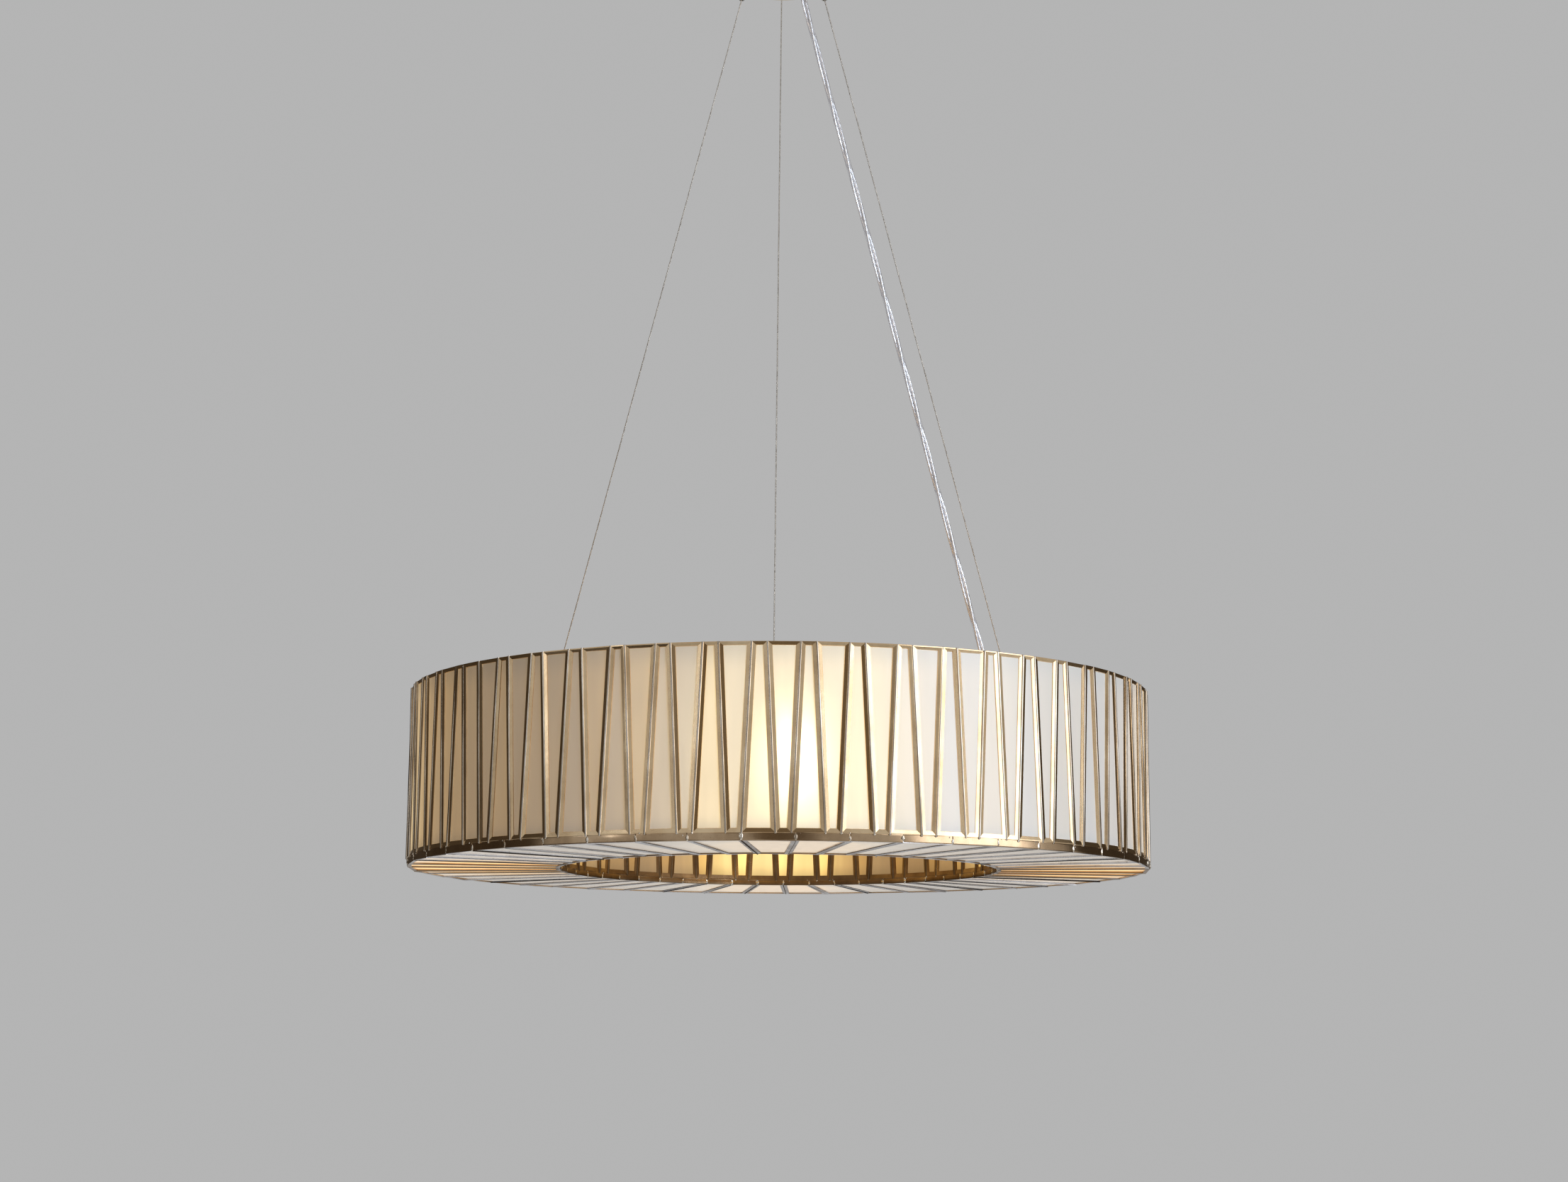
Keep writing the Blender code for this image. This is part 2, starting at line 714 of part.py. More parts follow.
def make_gripper(number, azimuth, looks, canopy):
    """Make one cable gripper under the canopy, its release plunger and its locknut."""
    place = polar(GRIPPER_TRACK_R, azimuth, -CANOPY_H)
    body = (
        (0.0, GRIPPER_THREAD_H),
        (GRIPPER_THREAD_R, GRIPPER_THREAD_H),
        (GRIPPER_THREAD_R, -GAP),
        (GRIPPER_R, -GAP),
        (GRIPPER_R, -GRIPPER_H),
        (GRIPPER_BORE_R, -GRIPPER_H),
        (GRIPPER_BORE_R, GRIPPER_BORE_H - GRIPPER_H),
        (0.0, GRIPPER_BORE_H - GRIPPER_H),
    )
    name = "cable_gripper_%d" % number
    turned(name, body, ROUND_SEGMENTS, looks["nickel"], canopy, place)
    foot = -GRIPPER_H - PLUNGER_OUT
    head = -GRIPPER_H + PLUNGER_IN
    plunger = (
        (PLUNGER_BORE_R, foot),
        (PLUNGER_R, foot),
        (PLUNGER_R, head),
        (PLUNGER_BORE_R, head),
    )
    name = "release_plunger_%d" % number
    turned(name, plunger, ROUND_SEGMENTS, looks["nickel"], canopy, place, closed=True)
    hole_r = (GRIPPER_THREAD_R + GAP) / math.cos(math.pi / NUT_SIDES)
    low = CANOPY_WALL + GAP
    nut = ring_profile(hole_r, LOCKNUT_R - hole_r, low, low + LOCKNUT_T)
    name = "gripper_locknut_%d" % number
    turned(name, nut, NUT_SIDES, looks["nickel"], canopy, place, closed=True)


def stud_places():
    """Return the places of the two studs that hold the canopy."""
    return [Vector((side * CANOPY_STUD_TRACK, 0.0, 0.0)) for side in (-1.0, 1.0)]


def make_strap(looks, canopy):
    """Make the ceiling strap with its two welded studs and its screw holes."""
    strap = bmesh.new()
    add_bar(strap, (STRAP_L, STRAP_W, STRAP_T), Vector((0.0, 0.0, -STRAP_T / 2.0)), 90.0)
    node = add_node("ceiling_strap", strap, looks["nickel"], canopy)
    studs = bmesh.new()
    low = -(CANOPY_H + CANOPY_STUD_BELOW)
    rod = ((0.0, low), (CANOPY_STUD_R, low), (CANOPY_STUD_R, WELD - STRAP_T), (0.0, WELD - STRAP_T))
    for place in stud_places():
        turn(studs, rod, ROUND_SEGMENTS, place)
    combine(node, add_helper("stud_helper", studs, looks["nickel"], canopy), "UNION")
    screw_places = [Vector((side * BOX_SCREW_TRACK, 0.0, 0.0)) for side in (-1.0, 1.0)]
    holes = [(place, BOX_SCREW_R + GAP) for place in screw_places]
    cut_holes(node, "strap_hole_cutter", holes, -STRAP_T, 0.0, canopy)


def make_canopy(looks, canopy):
    """Make the pan that covers the ceiling strap, and its two cap nuts."""
    pan_inner_r = CANOPY_R - CANOPY_WALL
    pan = (
        (0.0, -CANOPY_H),
        (CANOPY_R - CANOPY_EDGE, -CANOPY_H),
        (CANOPY_R, -CANOPY_H + CANOPY_EDGE),
        (CANOPY_R, 0.0),
        (pan_inner_r, 0.0),
        (pan_inner_r, -CANOPY_H + CANOPY_EDGE + CANOPY_WALL / 2.0),
        (pan_inner_r - CANOPY_EDGE, -CANOPY_H + CANOPY_WALL),
        (0.0, -CANOPY_H + CANOPY_WALL),
    )
    cover = turned("canopy_cover", pan, CANOPY_SEGMENTS, looks["brass"], canopy, None)
    grippers = [polar(GRIPPER_TRACK_R, azimuth) for azimuth in cable_azimuths()]
    holes = [(place, GRIPPER_THREAD_R + GAP) for place in grippers]
    holes += [(place, CANOPY_STUD_R + GAP) for place in stud_places()]
    holes.append((polar(GRIP_TRACK_R, GRIP_DEG), GRIP_THREAD_R + GAP))
    cut_holes(cover, "canopy_hole_cutter", holes, -CANOPY_H, -CANOPY_H + CANOPY_WALL, canopy)
    bore_end = -GAP - CAP_NUT_BORE_H
    cap_nut = (
        (0.0, bore_end),
        (CAP_NUT_BORE_R, bore_end),
        (CAP_NUT_BORE_R, -GAP),
        (CAP_NUT_R, -GAP),
        (CAP_NUT_R, -CAP_NUT_H / 2.0),
        (CAP_NUT_R / 2.0, -CAP_NUT_H),
        (0.0, -CAP_NUT_H),
    )
    for number, place in enumerate(stud_places(), 1):
        name = "canopy_cap_nut_%d" % number
        under = place - Vector((0.0, 0.0, CANOPY_H))
        turned(name, cap_nut, ROUND_SEGMENTS, looks["brass"], canopy, under)


def make_cord_entry(looks, canopy):
    """Make the cord's grip in the canopy, the terminal block and the tail between them."""
    place = polar(GRIP_TRACK_R, GRIP_DEG, -CANOPY_H)
    grip = (
        (0.0, -GRIP_H),
        (CORD_R + GAP, -GRIP_H),
        (GRIP_R, -GRIP_H / 2.0),
        (GRIP_R, -GAP),
        (GRIP_THREAD_R, -GAP),
        (GRIP_THREAD_R, GRIP_THREAD_H),
        (0.0, GRIP_THREAD_H),
    )
    turned("cord_grip", grip, ROUND_SEGMENTS, looks["brass"], canopy, place)

    block = bmesh.new()
    block_centre = Vector((0.0, 0.0, -(STRAP_T + GAP + TERMINAL_H / 2.0)))
    add_bar(block, (TERMINAL_L, TERMINAL_W, TERMINAL_H), block_centre, 90.0)
    add_node("terminal_block", block, looks["porcelain"], canopy)

    top = place + Vector((0.0, 0.0, GRIP_THREAD_H + GAP))
    entry = Vector((TERMINAL_L / 2.0 + GAP, TERMINAL_W / 4.0, block_centre.z))
    rise = entry.z - top.z
    level = Vector((top.x - entry.x, 0.0, 0.0))
    route = (
        top,
        top + Vector((0.0, 0.0, rise * 0.5)),
        (top + entry) / 2.0 + Vector((0.0, 0.0, rise * 0.5)),
        entry + level * 0.3,
        entry,
    )
    add_tube("supply_tail", read_smooth(route, TAIL_R * 2.0), TAIL_R, looks["clear"], canopy)


def make_power_cord(clear):
    """Make the power cord along its chosen route."""
    add_tube("power_cord", read_smooth(CORD_ROUTE, CORD_POINT_STEP), CORD_R, clear, None)


def make_looks():
    """Return the light's finishes by name."""
    return {
        "brass": finish_material("aged_brass", (0.45, 0.33, 0.17), 1.0, 0.38),
        "glass": finish_material("opal_glass", (0.86, 0.8, 0.7), 0.0, 0.25),
        "nickel": finish_material("satin_nickel", (0.6, 0.59, 0.56), 1.0, 0.35),
        "steel": finish_material("cable_steel", (0.55, 0.54, 0.52), 1.0, 0.4),
        "porcelain": finish_material("glazed_porcelain", (0.85, 0.84, 0.8), 0.0, 0.3),
        "contact": finish_material("solder_contact", (0.5, 0.5, 0.5), 1.0, 0.45),
        "bulb": finish_material("frosted_bulb", (0.95, 0.9, 0.8), 0.0, 0.5),
        "clear": finish_material("clear_jacket", (0.8, 0.8, 0.78), 0.0, 0.15, 0.6),
        "rubber": finish_material("gland_plastic", (0.7, 0.7, 0.68), 0.0, 0.4),
    }


def main():
    clear_scene()
    looks = make_looks()
    canopy = add_empty("canopy_origin", 0.0)
    shade = add_empty("shade_origin", SHADE_BOTTOM_Z)
    make_outer_wall(looks["brass"], looks["glass"], shade)
    make_inner_wall(looks["brass"], looks["glass"], shade)
    make_bottom(looks["brass"], looks["glass"], shade)
    make_hoops(looks["brass"], shade)
    make_crossbars(looks["brass"], shade)
    make_carrier_ring(looks["brass"], shade)
    for number, azimuth in enumerate(lamp_azimuths(), 1):
        make_lamp(number, azimuth, looks, shade)
    make_wiring(looks, shade)
    make_strap(looks, canopy)
    make_canopy(looks, canopy)
    make_cord_entry(looks, canopy)
    for number, azimuth in enumerate(cable_azimuths(), 1):
        make_coupler(number, azimuth, looks["brass"], shade)
        make_gripper(number, azimuth, looks, canopy)
        make_cable(number, azimuth, looks["steel"])
    make_power_cord(looks["clear"])


main()
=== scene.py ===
"""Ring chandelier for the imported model: framed opal panes, twisted cables, clear cord, lamps and canopy.

Metres, +Z up. The origin is the centre of the ceiling face, and the light hangs below it.
An azimuth of 0 degrees points to the front, -Y, and grows towards +X.
"""
import json
import math
import random

import bmesh
import bpy
from mathutils import Matrix, Vector


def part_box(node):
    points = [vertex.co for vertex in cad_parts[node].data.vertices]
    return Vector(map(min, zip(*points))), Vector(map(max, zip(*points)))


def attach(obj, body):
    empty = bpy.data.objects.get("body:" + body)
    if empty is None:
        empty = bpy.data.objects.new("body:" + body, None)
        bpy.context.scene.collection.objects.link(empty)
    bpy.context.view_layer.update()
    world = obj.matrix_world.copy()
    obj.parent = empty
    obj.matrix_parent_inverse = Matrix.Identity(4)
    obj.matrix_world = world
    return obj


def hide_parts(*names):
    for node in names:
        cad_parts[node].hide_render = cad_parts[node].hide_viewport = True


# Shade ring, as in the part's source
OUTER_R = 0.4572
INNER_R = 0.2713
CARRIER_R = 0.363
OUTER_PAIRS = 53
OUTER_CLOSING_DEG = 4.05
OUTER_START_DEG = -48.04
INNER_PAIRS = 31
INNER_START_DEG = 178.74
WIDE_SHARE = 0.68
BOTTOM_PANELS = 49
BOTTOM_START_DEG = 2.31
OUTER_RIM_H = 0.0082
INNER_RIM_H = 0.0062
RIM_GAP = 0.0003

# Came: a flange that slopes down to the glass round each pane
SEAM_HALF = 0.00015
CAME_DEPTH = 0.0052
EDGE_STEPS = ((0.00025, 0.00018), (0.0010, 0.0))
LIP_STEP = (0.0003, -0.0008)
GLASS_T = 0.003
PANE_OVERLAP = 0.0012
PANE_SINK = 0.0016
PANE_CROWN = (0.0032, 0.0003)

# Each part of the shade: its CAD nodes, the width of its flanges at the foot, the sides and the head,
# how far they slope in, the seed of its hand work, and the shades of its wide- and narrow-footed panes
PARTS = {
    "outer": (
        ("outer_came", "outer_glass"), (0.0050, 0.0050, 0.0042), -0.0007, 11, ((0.0, 1.0), (0.0, 1.0)),
    ),
    "inner": (
        ("inner_came", "inner_glass"), (0.0060, 0.0040, 0.0040), -0.0007, 23, ((0.0, 0.4), (0.55, 1.0)),
    ),
    "underside": (
        ("bottom_came", "bottom_glass"), (0.0044, 0.0044, 0.0044), -0.0003, 37, ((0.0, 1.0), (0.0, 1.0)),
    ),
}

# Seams: a round bead over each seam of the walls, a flat run of solder on those of the underside
BEAD_W = 0.0027
BEAD_BASE = 0.0010
BEAD_TURN_DEG = 7.0
BEAD_STEPS = ((0.00016, 0.00062), (0.00030, 0.00040), (0.00042, 0.00024), (0.00034, 0.00008))
BEAD_FOOT = 0.0011
SEAM_W = 0.0010
SEAM_SINK = 0.0009
SEAM_STEPS = ((0.0003, 0.0009),)
RIM_BACK = 0.0050
RIM_STEPS = ((0.0006, 0.0003), (0.0006, 0.00012))
RIM_LAP = 0.0007
RIM_PLAY = 0.0002

# Dabs of solder: sizes, and the ranges of the scale along X, Y and Z that each copy gets
DAB_SIZE = (0.0014, 0.0009, 0.0016)
RIM_DAB_SIZE = (0.0016, 0.0009, 0.0036)
DAB_UNEVEN = 0.35
DAB_SCALES = ((0.7, 1.3), (0.8, 1.5), (0.6, 1.1))
RIM_DAB_SCALES = ((0.8, 1.8), (0.9, 1.5), (0.8, 1.15))
CRUMB_SCALES = ((0.3, 0.7), (0.6, 1.2), (0.15, 0.35))
WALL_DAB_SEED = 5
RIM_SEED = 71
DAB_LEAN = 0.4
RIM_DAB_LEAN = 0.25
CRUMB_TURN_DEG = 0.7

# Beads and dabs: share of the bead's foot, rise from it, drop from the head, and shares of the rim's height
BEAD_FOOT_SHARE = (0.2, 1.0)
DAB_RISE = (0.0, 0.001)
DAB_DROP = (0.0012, 0.0036)
RIM_DAB_RISE = (0.35, 0.6)
CRUMB_RISE = (0.7, 1.15)

# Hand work: how far each kind of piece turns, in degrees, and shifts
FRAME_SET = (1.6, 0.0001)
PANE_SET = (0.3, 0.00005)
RIM_SET = (0.5, 0.0002)

SMOOTH_DEG = {
    "frames": 8.0, "panes": 20.0, "beads": 60.0, "seams": 30.0, "strips": 35.0,
    "turned": 32.0, "rings": 30.0, "globe": 40.0, "cap": 50.0,
}

# Lamps
CORE_REACH = 0.09
CORE_FALL = 20.0
GLOW_SQUEEZE = 0.55
LAMPS = 4
LAMP_START_DEG = 2.3

# Carrier inside the shade: heights above its underside
HOOP_T = 0.003
CROSSBAR_W = 0.012
CROSSBAR_START_DEG = 47.3
CROSSBAR_RADII = (0.2808, 0.4467)
LEAD_TRACK_R = 0.3745
LEAD_R = 0.002
LEAD_SIDES = 12
LEAD_GAP_DEG = 3.5
HOUSING_DEG = 127.6
HOUSING_SIZE = (0.044, 0.030, 0.016)
HOUSING_WALL = 0.0012
HOUSING_EDGE = 0.0016
HOUSING_CREST = 0.0004
CROSSBAR_EDGE = 0.0006
HOOP_EDGE_MM = 0.4
CARRIER_EDGE_MM = 0.5
GLOBE_STEP = 0.004
RING_SEGMENTS = 96

# Suspension
CABLES = 3
CABLE_START_DEG = -1.0
CABLE_LOW_R = 0.36
CABLE_HIGH_R = 0.0637
CABLE_LOW_Z = -0.9877
CABLE_HIGH_Z = -0.0455
CABLE_START = 0.0006
CABLE_END = 0.0015
CABLE_D = 0.0016
CABLE_STRANDS = 6
CABLE_LAY = 0.0125
CABLE_STEPS_PER_LAY = 7.0
CABLE_CORE_STEPS = 24
CABLE_SIDES = 5

# Power cord
CORD_D = 0.008
CONDUCTOR_R = 0.00165
CONDUCTOR_TRACK_R = 0.0018
CONDUCTORS = 2
CONDUCTOR_LAY = 0.18
CORD_STEP = 0.008
CORD_SIDES = 16
CONDUCTOR_STEP = 0.004
CONDUCTOR_SIDES = 10
STRANDS_ROUND = 9.0
STRANDS_PER_M = 110.0
CORD_ROUTE = (
    (0.2822, 0.2173, -0.9638),
    (0.2822, 0.2173, -0.9538),
    (0.2818, 0.2170, -0.9438),
    (0.2807, 0.2162, -0.9338),
    (0.2789, 0.2148, -0.9238),
    (0.2762, 0.2128, -0.9131),
    (0.2551, 0.1961, -0.8400),
    (0.2320, 0.1778, -0.7600),
    (0.2088, 0.1594, -0.6800),
    (0.1857, 0.1411, -0.6000),
    (0.1626, 0.1228, -0.5200),
    (0.1395, 0.1045, -0.4400),
    (0.1164, 0.0862, -0.3600),
    (0.0932, 0.0679, -0.2800),
    (0.0701, 0.0496, -0.2000),
    (0.0470, 0.0313, -0.1200),
    (0.0311, 0.0187, -0.0650),
    (0.0287, 0.0168, -0.0550),
    (0.0275, 0.0158, -0.0450),
    (0.0272, 0.0156, -0.0393),
    (0.0272, 0.0156, -0.0343),
)

# Turned parts: (radius, height above the part's lowest point) in millimetres, from its foot or its bore
COUPLER_PROFILE = (
    (7.9, 0.0), (8.5, 0.5), (8.5, 2.5), (8.0, 3.0), (5.2, 3.0), (5.2, 9.4), (4.6, 9.9), (4.6, 10.6),
    (5.2, 11.1), (5.2, 12.2), (4.8, 12.6), (5.2, 13.0), (4.8, 13.4), (5.2, 13.8), (4.8, 14.2),
    (5.2, 14.6), (4.8, 15.0), (5.2, 15.4), (5.2, 17.4), (4.7, 18.6), (3.9, 21.2), (2.6, 24.6),
    (2.2, 26.0), (1.9, 26.3),
)
NIPPLE_PROFILE = (
    (3.5, 0.0), (4.6, 0.0), (5.0, 0.4), (5.0, 32.3), (8.0, 32.3), (8.5, 32.8), (8.5, 34.2), (7.9, 34.8),
    (3.5, 34.8),
)
LAMPHOLDER_PROFILE = (
    (13.8, 0.6), (14.4, 0.0), (18.1, 0.0), (19.0, 0.9), (19.0, 6.0), (18.2, 6.7), (18.2, 8.3),
    (19.0, 9.0), (19.0, 29.5), (18.2, 30.2), (18.2, 31.8), (19.0, 32.5), (19.0, 36.6), (18.5, 38.2),
    (16.6, 40.4), (12.4, 43.8), (11.0, 45.4), (10.2, 46.0), (5.3, 46.0), (5.3, 36.0), (13.8, 36.0),
)
CAP_PROFILE = (
    (12.2, 79.4), (13.0, 80.2), (13.0, 82.6), (12.3, 84.2), (13.0, 86.0), (12.3, 87.8), (13.0, 89.6),
    (12.3, 91.4), (13.0, 93.2), (12.3, 95.0), (13.0, 96.8), (12.3, 98.6), (12.9, 100.4), (12.2, 102.0),
    (9.6, 103.6), (6.2, 105.4), (5.5, 106.0),
)
GLOBE_PROFILE = (
    (0.4, 0.0), (11.4, 1.6), (22.8, 9.6), (29.1, 24.0), (29.3, 36.8), (21.6, 52.8), (14.1, 68.8),
    (12.9, 80.0),
)
CONTACT_PROFILE = ((3.4, 0.0), (4.3, 0.3), (4.5, 0.9), (4.1, 1.9), (2.6, 2.5))
GLAND_PROFILE = (
    (6.8, 0.0), (7.2, 0.4), (7.2, 5.3), (6.8, 5.7), (5.9, 6.2), (5.9, 7.4), (6.7, 7.7), (6.7, 9.9),
    (5.7, 10.2), (5.7, 11.4), (6.4, 11.7), (6.4, 13.9), (5.5, 14.2), (5.5, 15.4), (6.1, 15.7),
    (6.1, 17.9), (5.3, 18.2), (5.3, 19.4), (5.8, 19.7), (5.8, 21.9), (5.1, 22.2), (5.1, 23.4),
    (5.4, 23.7), (5.2, 25.7), (4.8, 26.0),
)
GRIPPER_PROFILE = (
    (3.8, 12.0), (3.8, 0.3), (4.1, 0.0), (6.4, 0.0), (7.0, 0.6), (7.0, 3.4), (6.5, 3.8), (6.5, 4.6),
    (7.0, 5.0), (7.0, 9.8), (6.5, 10.2), (6.5, 11.0), (7.0, 11.4), (7.0, 13.1), (6.4, 13.7),
    (5.0, 13.7), (5.0, 23.6), (4.6, 24.0),
)
PLUNGER_PROFILE = (
    (1.7, 0.3), (2.0, 0.0), (3.1, 0.0), (3.5, 0.4), (3.5, 1.3), (3.0, 1.7), (3.0, 2.1), (3.5, 2.5),
    (3.5, 13.0), (1.7, 13.0),
)
CANOPY_PROFILE = (
    (75.2, 0.0), (76.6, 0.15), (78.2, 0.8), (79.3, 2.1), (79.85, 3.8), (80.0, 5.0), (80.0, 27.4),
    (79.6, 28.0), (78.9, 28.0), (78.5, 27.5), (78.5, 4.8), (77.6, 2.8), (76.0, 1.8), (74.5, 1.5),
)
CAP_NUT_PROFILE = (
    (0.6, 0.0), (2.6, 0.35), (4.2, 1.3), (5.1, 2.6), (5.4, 4.2), (5.5, 4.9), (6.0, 5.1), (6.0, 9.2),
    (5.5, 9.7),
)
CORD_GRIP_PROFILE = (
    (4.3, 0.0), (5.4, 0.1), (7.6, 1.1), (8.8, 2.5), (9.0, 3.3), (9.0, 5.3), (8.6, 5.7), (6.0, 5.7),
    (6.0, 15.1), (5.6, 15.5),
)

# Stage: the floor and the surroundings, each with its strength as light and as seen
FLOOR_SIZE = 24.0
FLOOR_Z = -3.2
FLOOR_COLOUR = (0.72, 0.72, 0.72)
FLOOR_SEEN = 0.36
WORLD_LIGHT = 0.045
WORLD_SEEN = 0.46

# Cards, which only metal and glass reflect: name, azimuth, half their width in degrees, lowest and highest
# point, and how bright they look
CARD_REACH = 3.0
WHITE_CARD = (2.3, 2.4, 2.6)
DARK_CARD = (0.050, 0.038, 0.026)
BROWN_CARD = (0.13, 0.10, 0.065)
CARDS = (
    ("white_card", 55.5, 19.5, -1.5, 1.5, WHITE_CARD),
    ("left_card", -115.0, 45.0, -2.9, 1.6, DARK_CARD),
    ("left_low_card", -50.0, 20.0, -2.9, -1.55, DARK_CARD),
    ("left_high_card", -57.0, 13.0, 0.1, 1.8, DARK_CARD),
    ("strip_card", -47.0, 1.6, -0.82, 1.5, WHITE_CARD),
    ("right_card", 125.0, 33.0, -2.9, 1.6, DARK_CARD),
    ("front_card", 0.0, 9.0, -1.15, 1.9, BROWN_CARD),
    ("front_low_card", 0.0, 8.0, -2.2, -1.15, BROWN_CARD),
)

# Soft lights: name, place, width and height, watts and colour
LIGHT_AIM = (0.0, 0.0, -1.1)
SOFTBOXES = (
    ("key_softbox", (2.2, -2.0, -0.55), (2.6, 1.9), 59.0, (0.77, 0.89, 1.0)),
    ("fill_softbox", (-1.9, -2.7, -0.9), (2.0, 1.6), 10.5, (1.0, 0.81, 0.56)),
)

# Metals: clean, worn and patina colours, share of patina, roughness from and to, height of the bumps
METALS = {
    "aged_brass": ((0.93, 0.72, 0.46), (0.85, 0.63, 0.38), (0.46, 0.30, 0.15), 0.6, 0.10, 0.20, 0.08),
    "polished_bead": ((0.84, 0.76, 0.66), (0.70, 0.61, 0.50), (0.34, 0.24, 0.15), 0.3, 0.06, 0.13, 0.02),
    "rim_brass": ((0.64, 0.47, 0.30), (0.54, 0.38, 0.23), (0.28, 0.18, 0.10), 0.8, 0.12, 0.26, 0.08),
    # Painted shade: a darker copy of the brass, also heavy with patina, for the frames, beads and rim
    # strips inside the ring
    "shade_darkened_patina_brass": ((0.40, 0.27, 0.15), (0.26, 0.17, 0.09), (0.12, 0.075, 0.04), 1.0, 0.24, 0.42, 0.2),
    "soft_solder": ((0.95, 0.89, 0.79), (0.80, 0.70, 0.56), (0.22, 0.15, 0.09), 0.8, 0.12, 0.34, 0.5),
    "satin_nickel": ((0.66, 0.64, 0.60), (0.58, 0.56, 0.52), (0.40, 0.38, 0.35), 0.4, 0.26, 0.38, 0.08),
}

# Opal glass: how the lamps light it, its shades and the one it takes where it glows, the glow's colours
# from faint to strong in pale and in rich panes, how far panes differ, and whether it stands upright
WALL_GLASS = {
    "lamps": {
        "soft_reach": 0.13, "strength": 0.53, "fall": 2.3, "peak": 2.4, "floor": 0.05,
        "side_share": 1.0,
    },
    "cool": (0.80, 0.80, 0.81),
    "warm": (0.80, 0.785, 0.74),
    "deep": (0.80, 0.785, 0.74),
    "glow_colours": (
        ((1.0, 0.61, 0.26), (1.0, 0.73, 0.39), (1.0, 0.81, 0.46), (1.0, 0.90, 0.66)),
        ((1.0, 0.56, 0.17), (1.0, 0.69, 0.30), (1.0, 0.79, 0.40), (1.0, 0.90, 0.62)),
    ),
    "tone_reach": 0.14,
    "upright": True,
}
SHADED_INNER_GLASS = {
    "lamps": {
        "soft_reach": 0.12, "strength": 1.05, "fall": 2.8, "peak": 0.3, "floor": 0.04,
        "side_share": 1.0,
    },
    # Painted shade: the inner panes' shades are a darker, browner copy of the wall glass, for the shade
    # inside the ring
    "cool": (0.48, 0.37, 0.25),
    "warm": (0.46, 0.33, 0.19),
    "deep": (0.46, 0.33, 0.19),
    "glow_colours": (
        ((1.0, 0.62, 0.30), (1.0, 0.64, 0.28), (1.0, 0.72, 0.28), (1.0, 0.82, 0.42)),
        ((1.0, 0.50, 0.12), (1.0, 0.54, 0.12), (1.0, 0.66, 0.20), (1.0, 0.78, 0.34)),
    ),
    "tone_reach": 0.18,
    "upright": True,
}
FLOOR_GLASS = {
    "lamps": {
        "soft_reach": 0.09, "strength": 0.34, "fall": 2.0, "peak": 0.0, "floor": 0.20,
        "side_share": 2.9,
    },
    "cool": (0.80, 0.81, 0.82),
    "warm": (0.80, 0.77, 0.72),
    "deep": (0.40, 0.28, 0.15),
    "glow_colours": (
        ((1.0, 0.92, 0.83), (1.0, 0.86, 0.68), (1.0, 0.68, 0.36), (1.0, 0.64, 0.30)),
        ((1.0, 0.89, 0.78), (1.0, 0.82, 0.62), (1.0, 0.62, 0.30), (1.0, 0.57, 0.24)),
    ),
    "tone_reach": 0.08,
    "upright": False,
}
CAME_LAMPS = {
    "soft_reach": 0.09, "strength": 0.34, "fall": 2.0, "peak": 0.0, "floor": 0.0,
    "side_share": 2.1,
}

# Glow at which the glass starts to and wholly takes its deep shade, loses its gloss, and changes colour
TINT_GLOW = (0.45, 0.95)
DULL_GLOW = (0.35, 0.80)
COLOUR_GLOW = (0.2, 2.2)
COLOUR_STOPS = (0.0, 0.15, 0.4, 1.0)

# The foot and the head of an upright pane glow less: heights from the edge, and the share that is left
FOOT_REACH = (0.008, 0.03)
FOOT_SHARE = 0.62
HEAD_REACH = 0.035
HEAD_SHARE = 0.66

# Camera: lens, place and aim worked out from the photograph's rim ellipses
LENS_MM = 58.952
SENSOR_MM = 36.0
CAMERA_PLACE = (0.0, -3.2010, -1.43437)
CAMERA_PITCH_DEG = 10.268
CAMERA_YAW_DEG = 0.0953
CAMERA_ROLL_DEG = 0.261

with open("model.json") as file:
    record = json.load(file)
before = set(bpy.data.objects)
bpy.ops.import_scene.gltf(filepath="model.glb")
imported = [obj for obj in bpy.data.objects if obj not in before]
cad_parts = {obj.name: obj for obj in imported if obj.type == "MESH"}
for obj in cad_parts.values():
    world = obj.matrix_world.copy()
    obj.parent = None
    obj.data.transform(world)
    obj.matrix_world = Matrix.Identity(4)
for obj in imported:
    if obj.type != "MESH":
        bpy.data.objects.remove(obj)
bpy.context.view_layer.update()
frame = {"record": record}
SHADE_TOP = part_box("outer_came")[1][2]
SHADE_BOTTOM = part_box("bottom_came")[0][2]
BULB_MID_Z = (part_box("bulb_1")[0][2] * 2.0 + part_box("bulb_1")[1][2]) / 3.0


def polar(radius, azimuth_deg, height=0.0):
    """Return the point at a radius and an azimuth from the front."""
    angle = math.radians(azimuth_deg)
    return Vector((radius * math.sin(angle), -radius * math.cos(angle), height))


def turn_z(degrees):
    return Matrix.Rotation(math.radians(degrees), 4, "Z")


def stood(point, azimuth_deg):
    """Return the matrix that stands a piece at a point, turned to an azimuth."""
    return Matrix.Translation(point) @ turn_z(azimuth_deg)


def let_go():
    """Leave edit mode and deselect every object."""
    if bpy.context.object and bpy.context.object.mode != "OBJECT":
        bpy.ops.object.mode_set(mode="OBJECT")
    bpy.ops.object.select_all(action="DESELECT")


def take(*objects):
    """Select only these objects and make the first active."""
    let_go()
    for item in objects:
        item.select_set(True)
    bpy.context.view_layer.objects.active = objects[0]


def edit(piece):
    """Open a piece in edit mode with nothing in it selected."""
    take(piece)
    bpy.ops.object.mode_set(mode="EDIT")
    bpy.ops.mesh.select_all(action="DESELECT")


def done():
    bpy.ops.object.mode_set(mode="OBJECT")


def pick_all():
    bpy.ops.mesh.select_all(action="SELECT")


def face_outwards():
    """Turn every face of the piece in edit mode outwards."""
    pick_all()
    bpy.ops.mesh.normals_make_consistent(inside=False)


def inset(thickness, depth=0.0):
    """Inset the picked faces evenly, and move them along their normal."""
    bpy.ops.mesh.inset(thickness=thickness, depth=depth, use_even_offset=True)


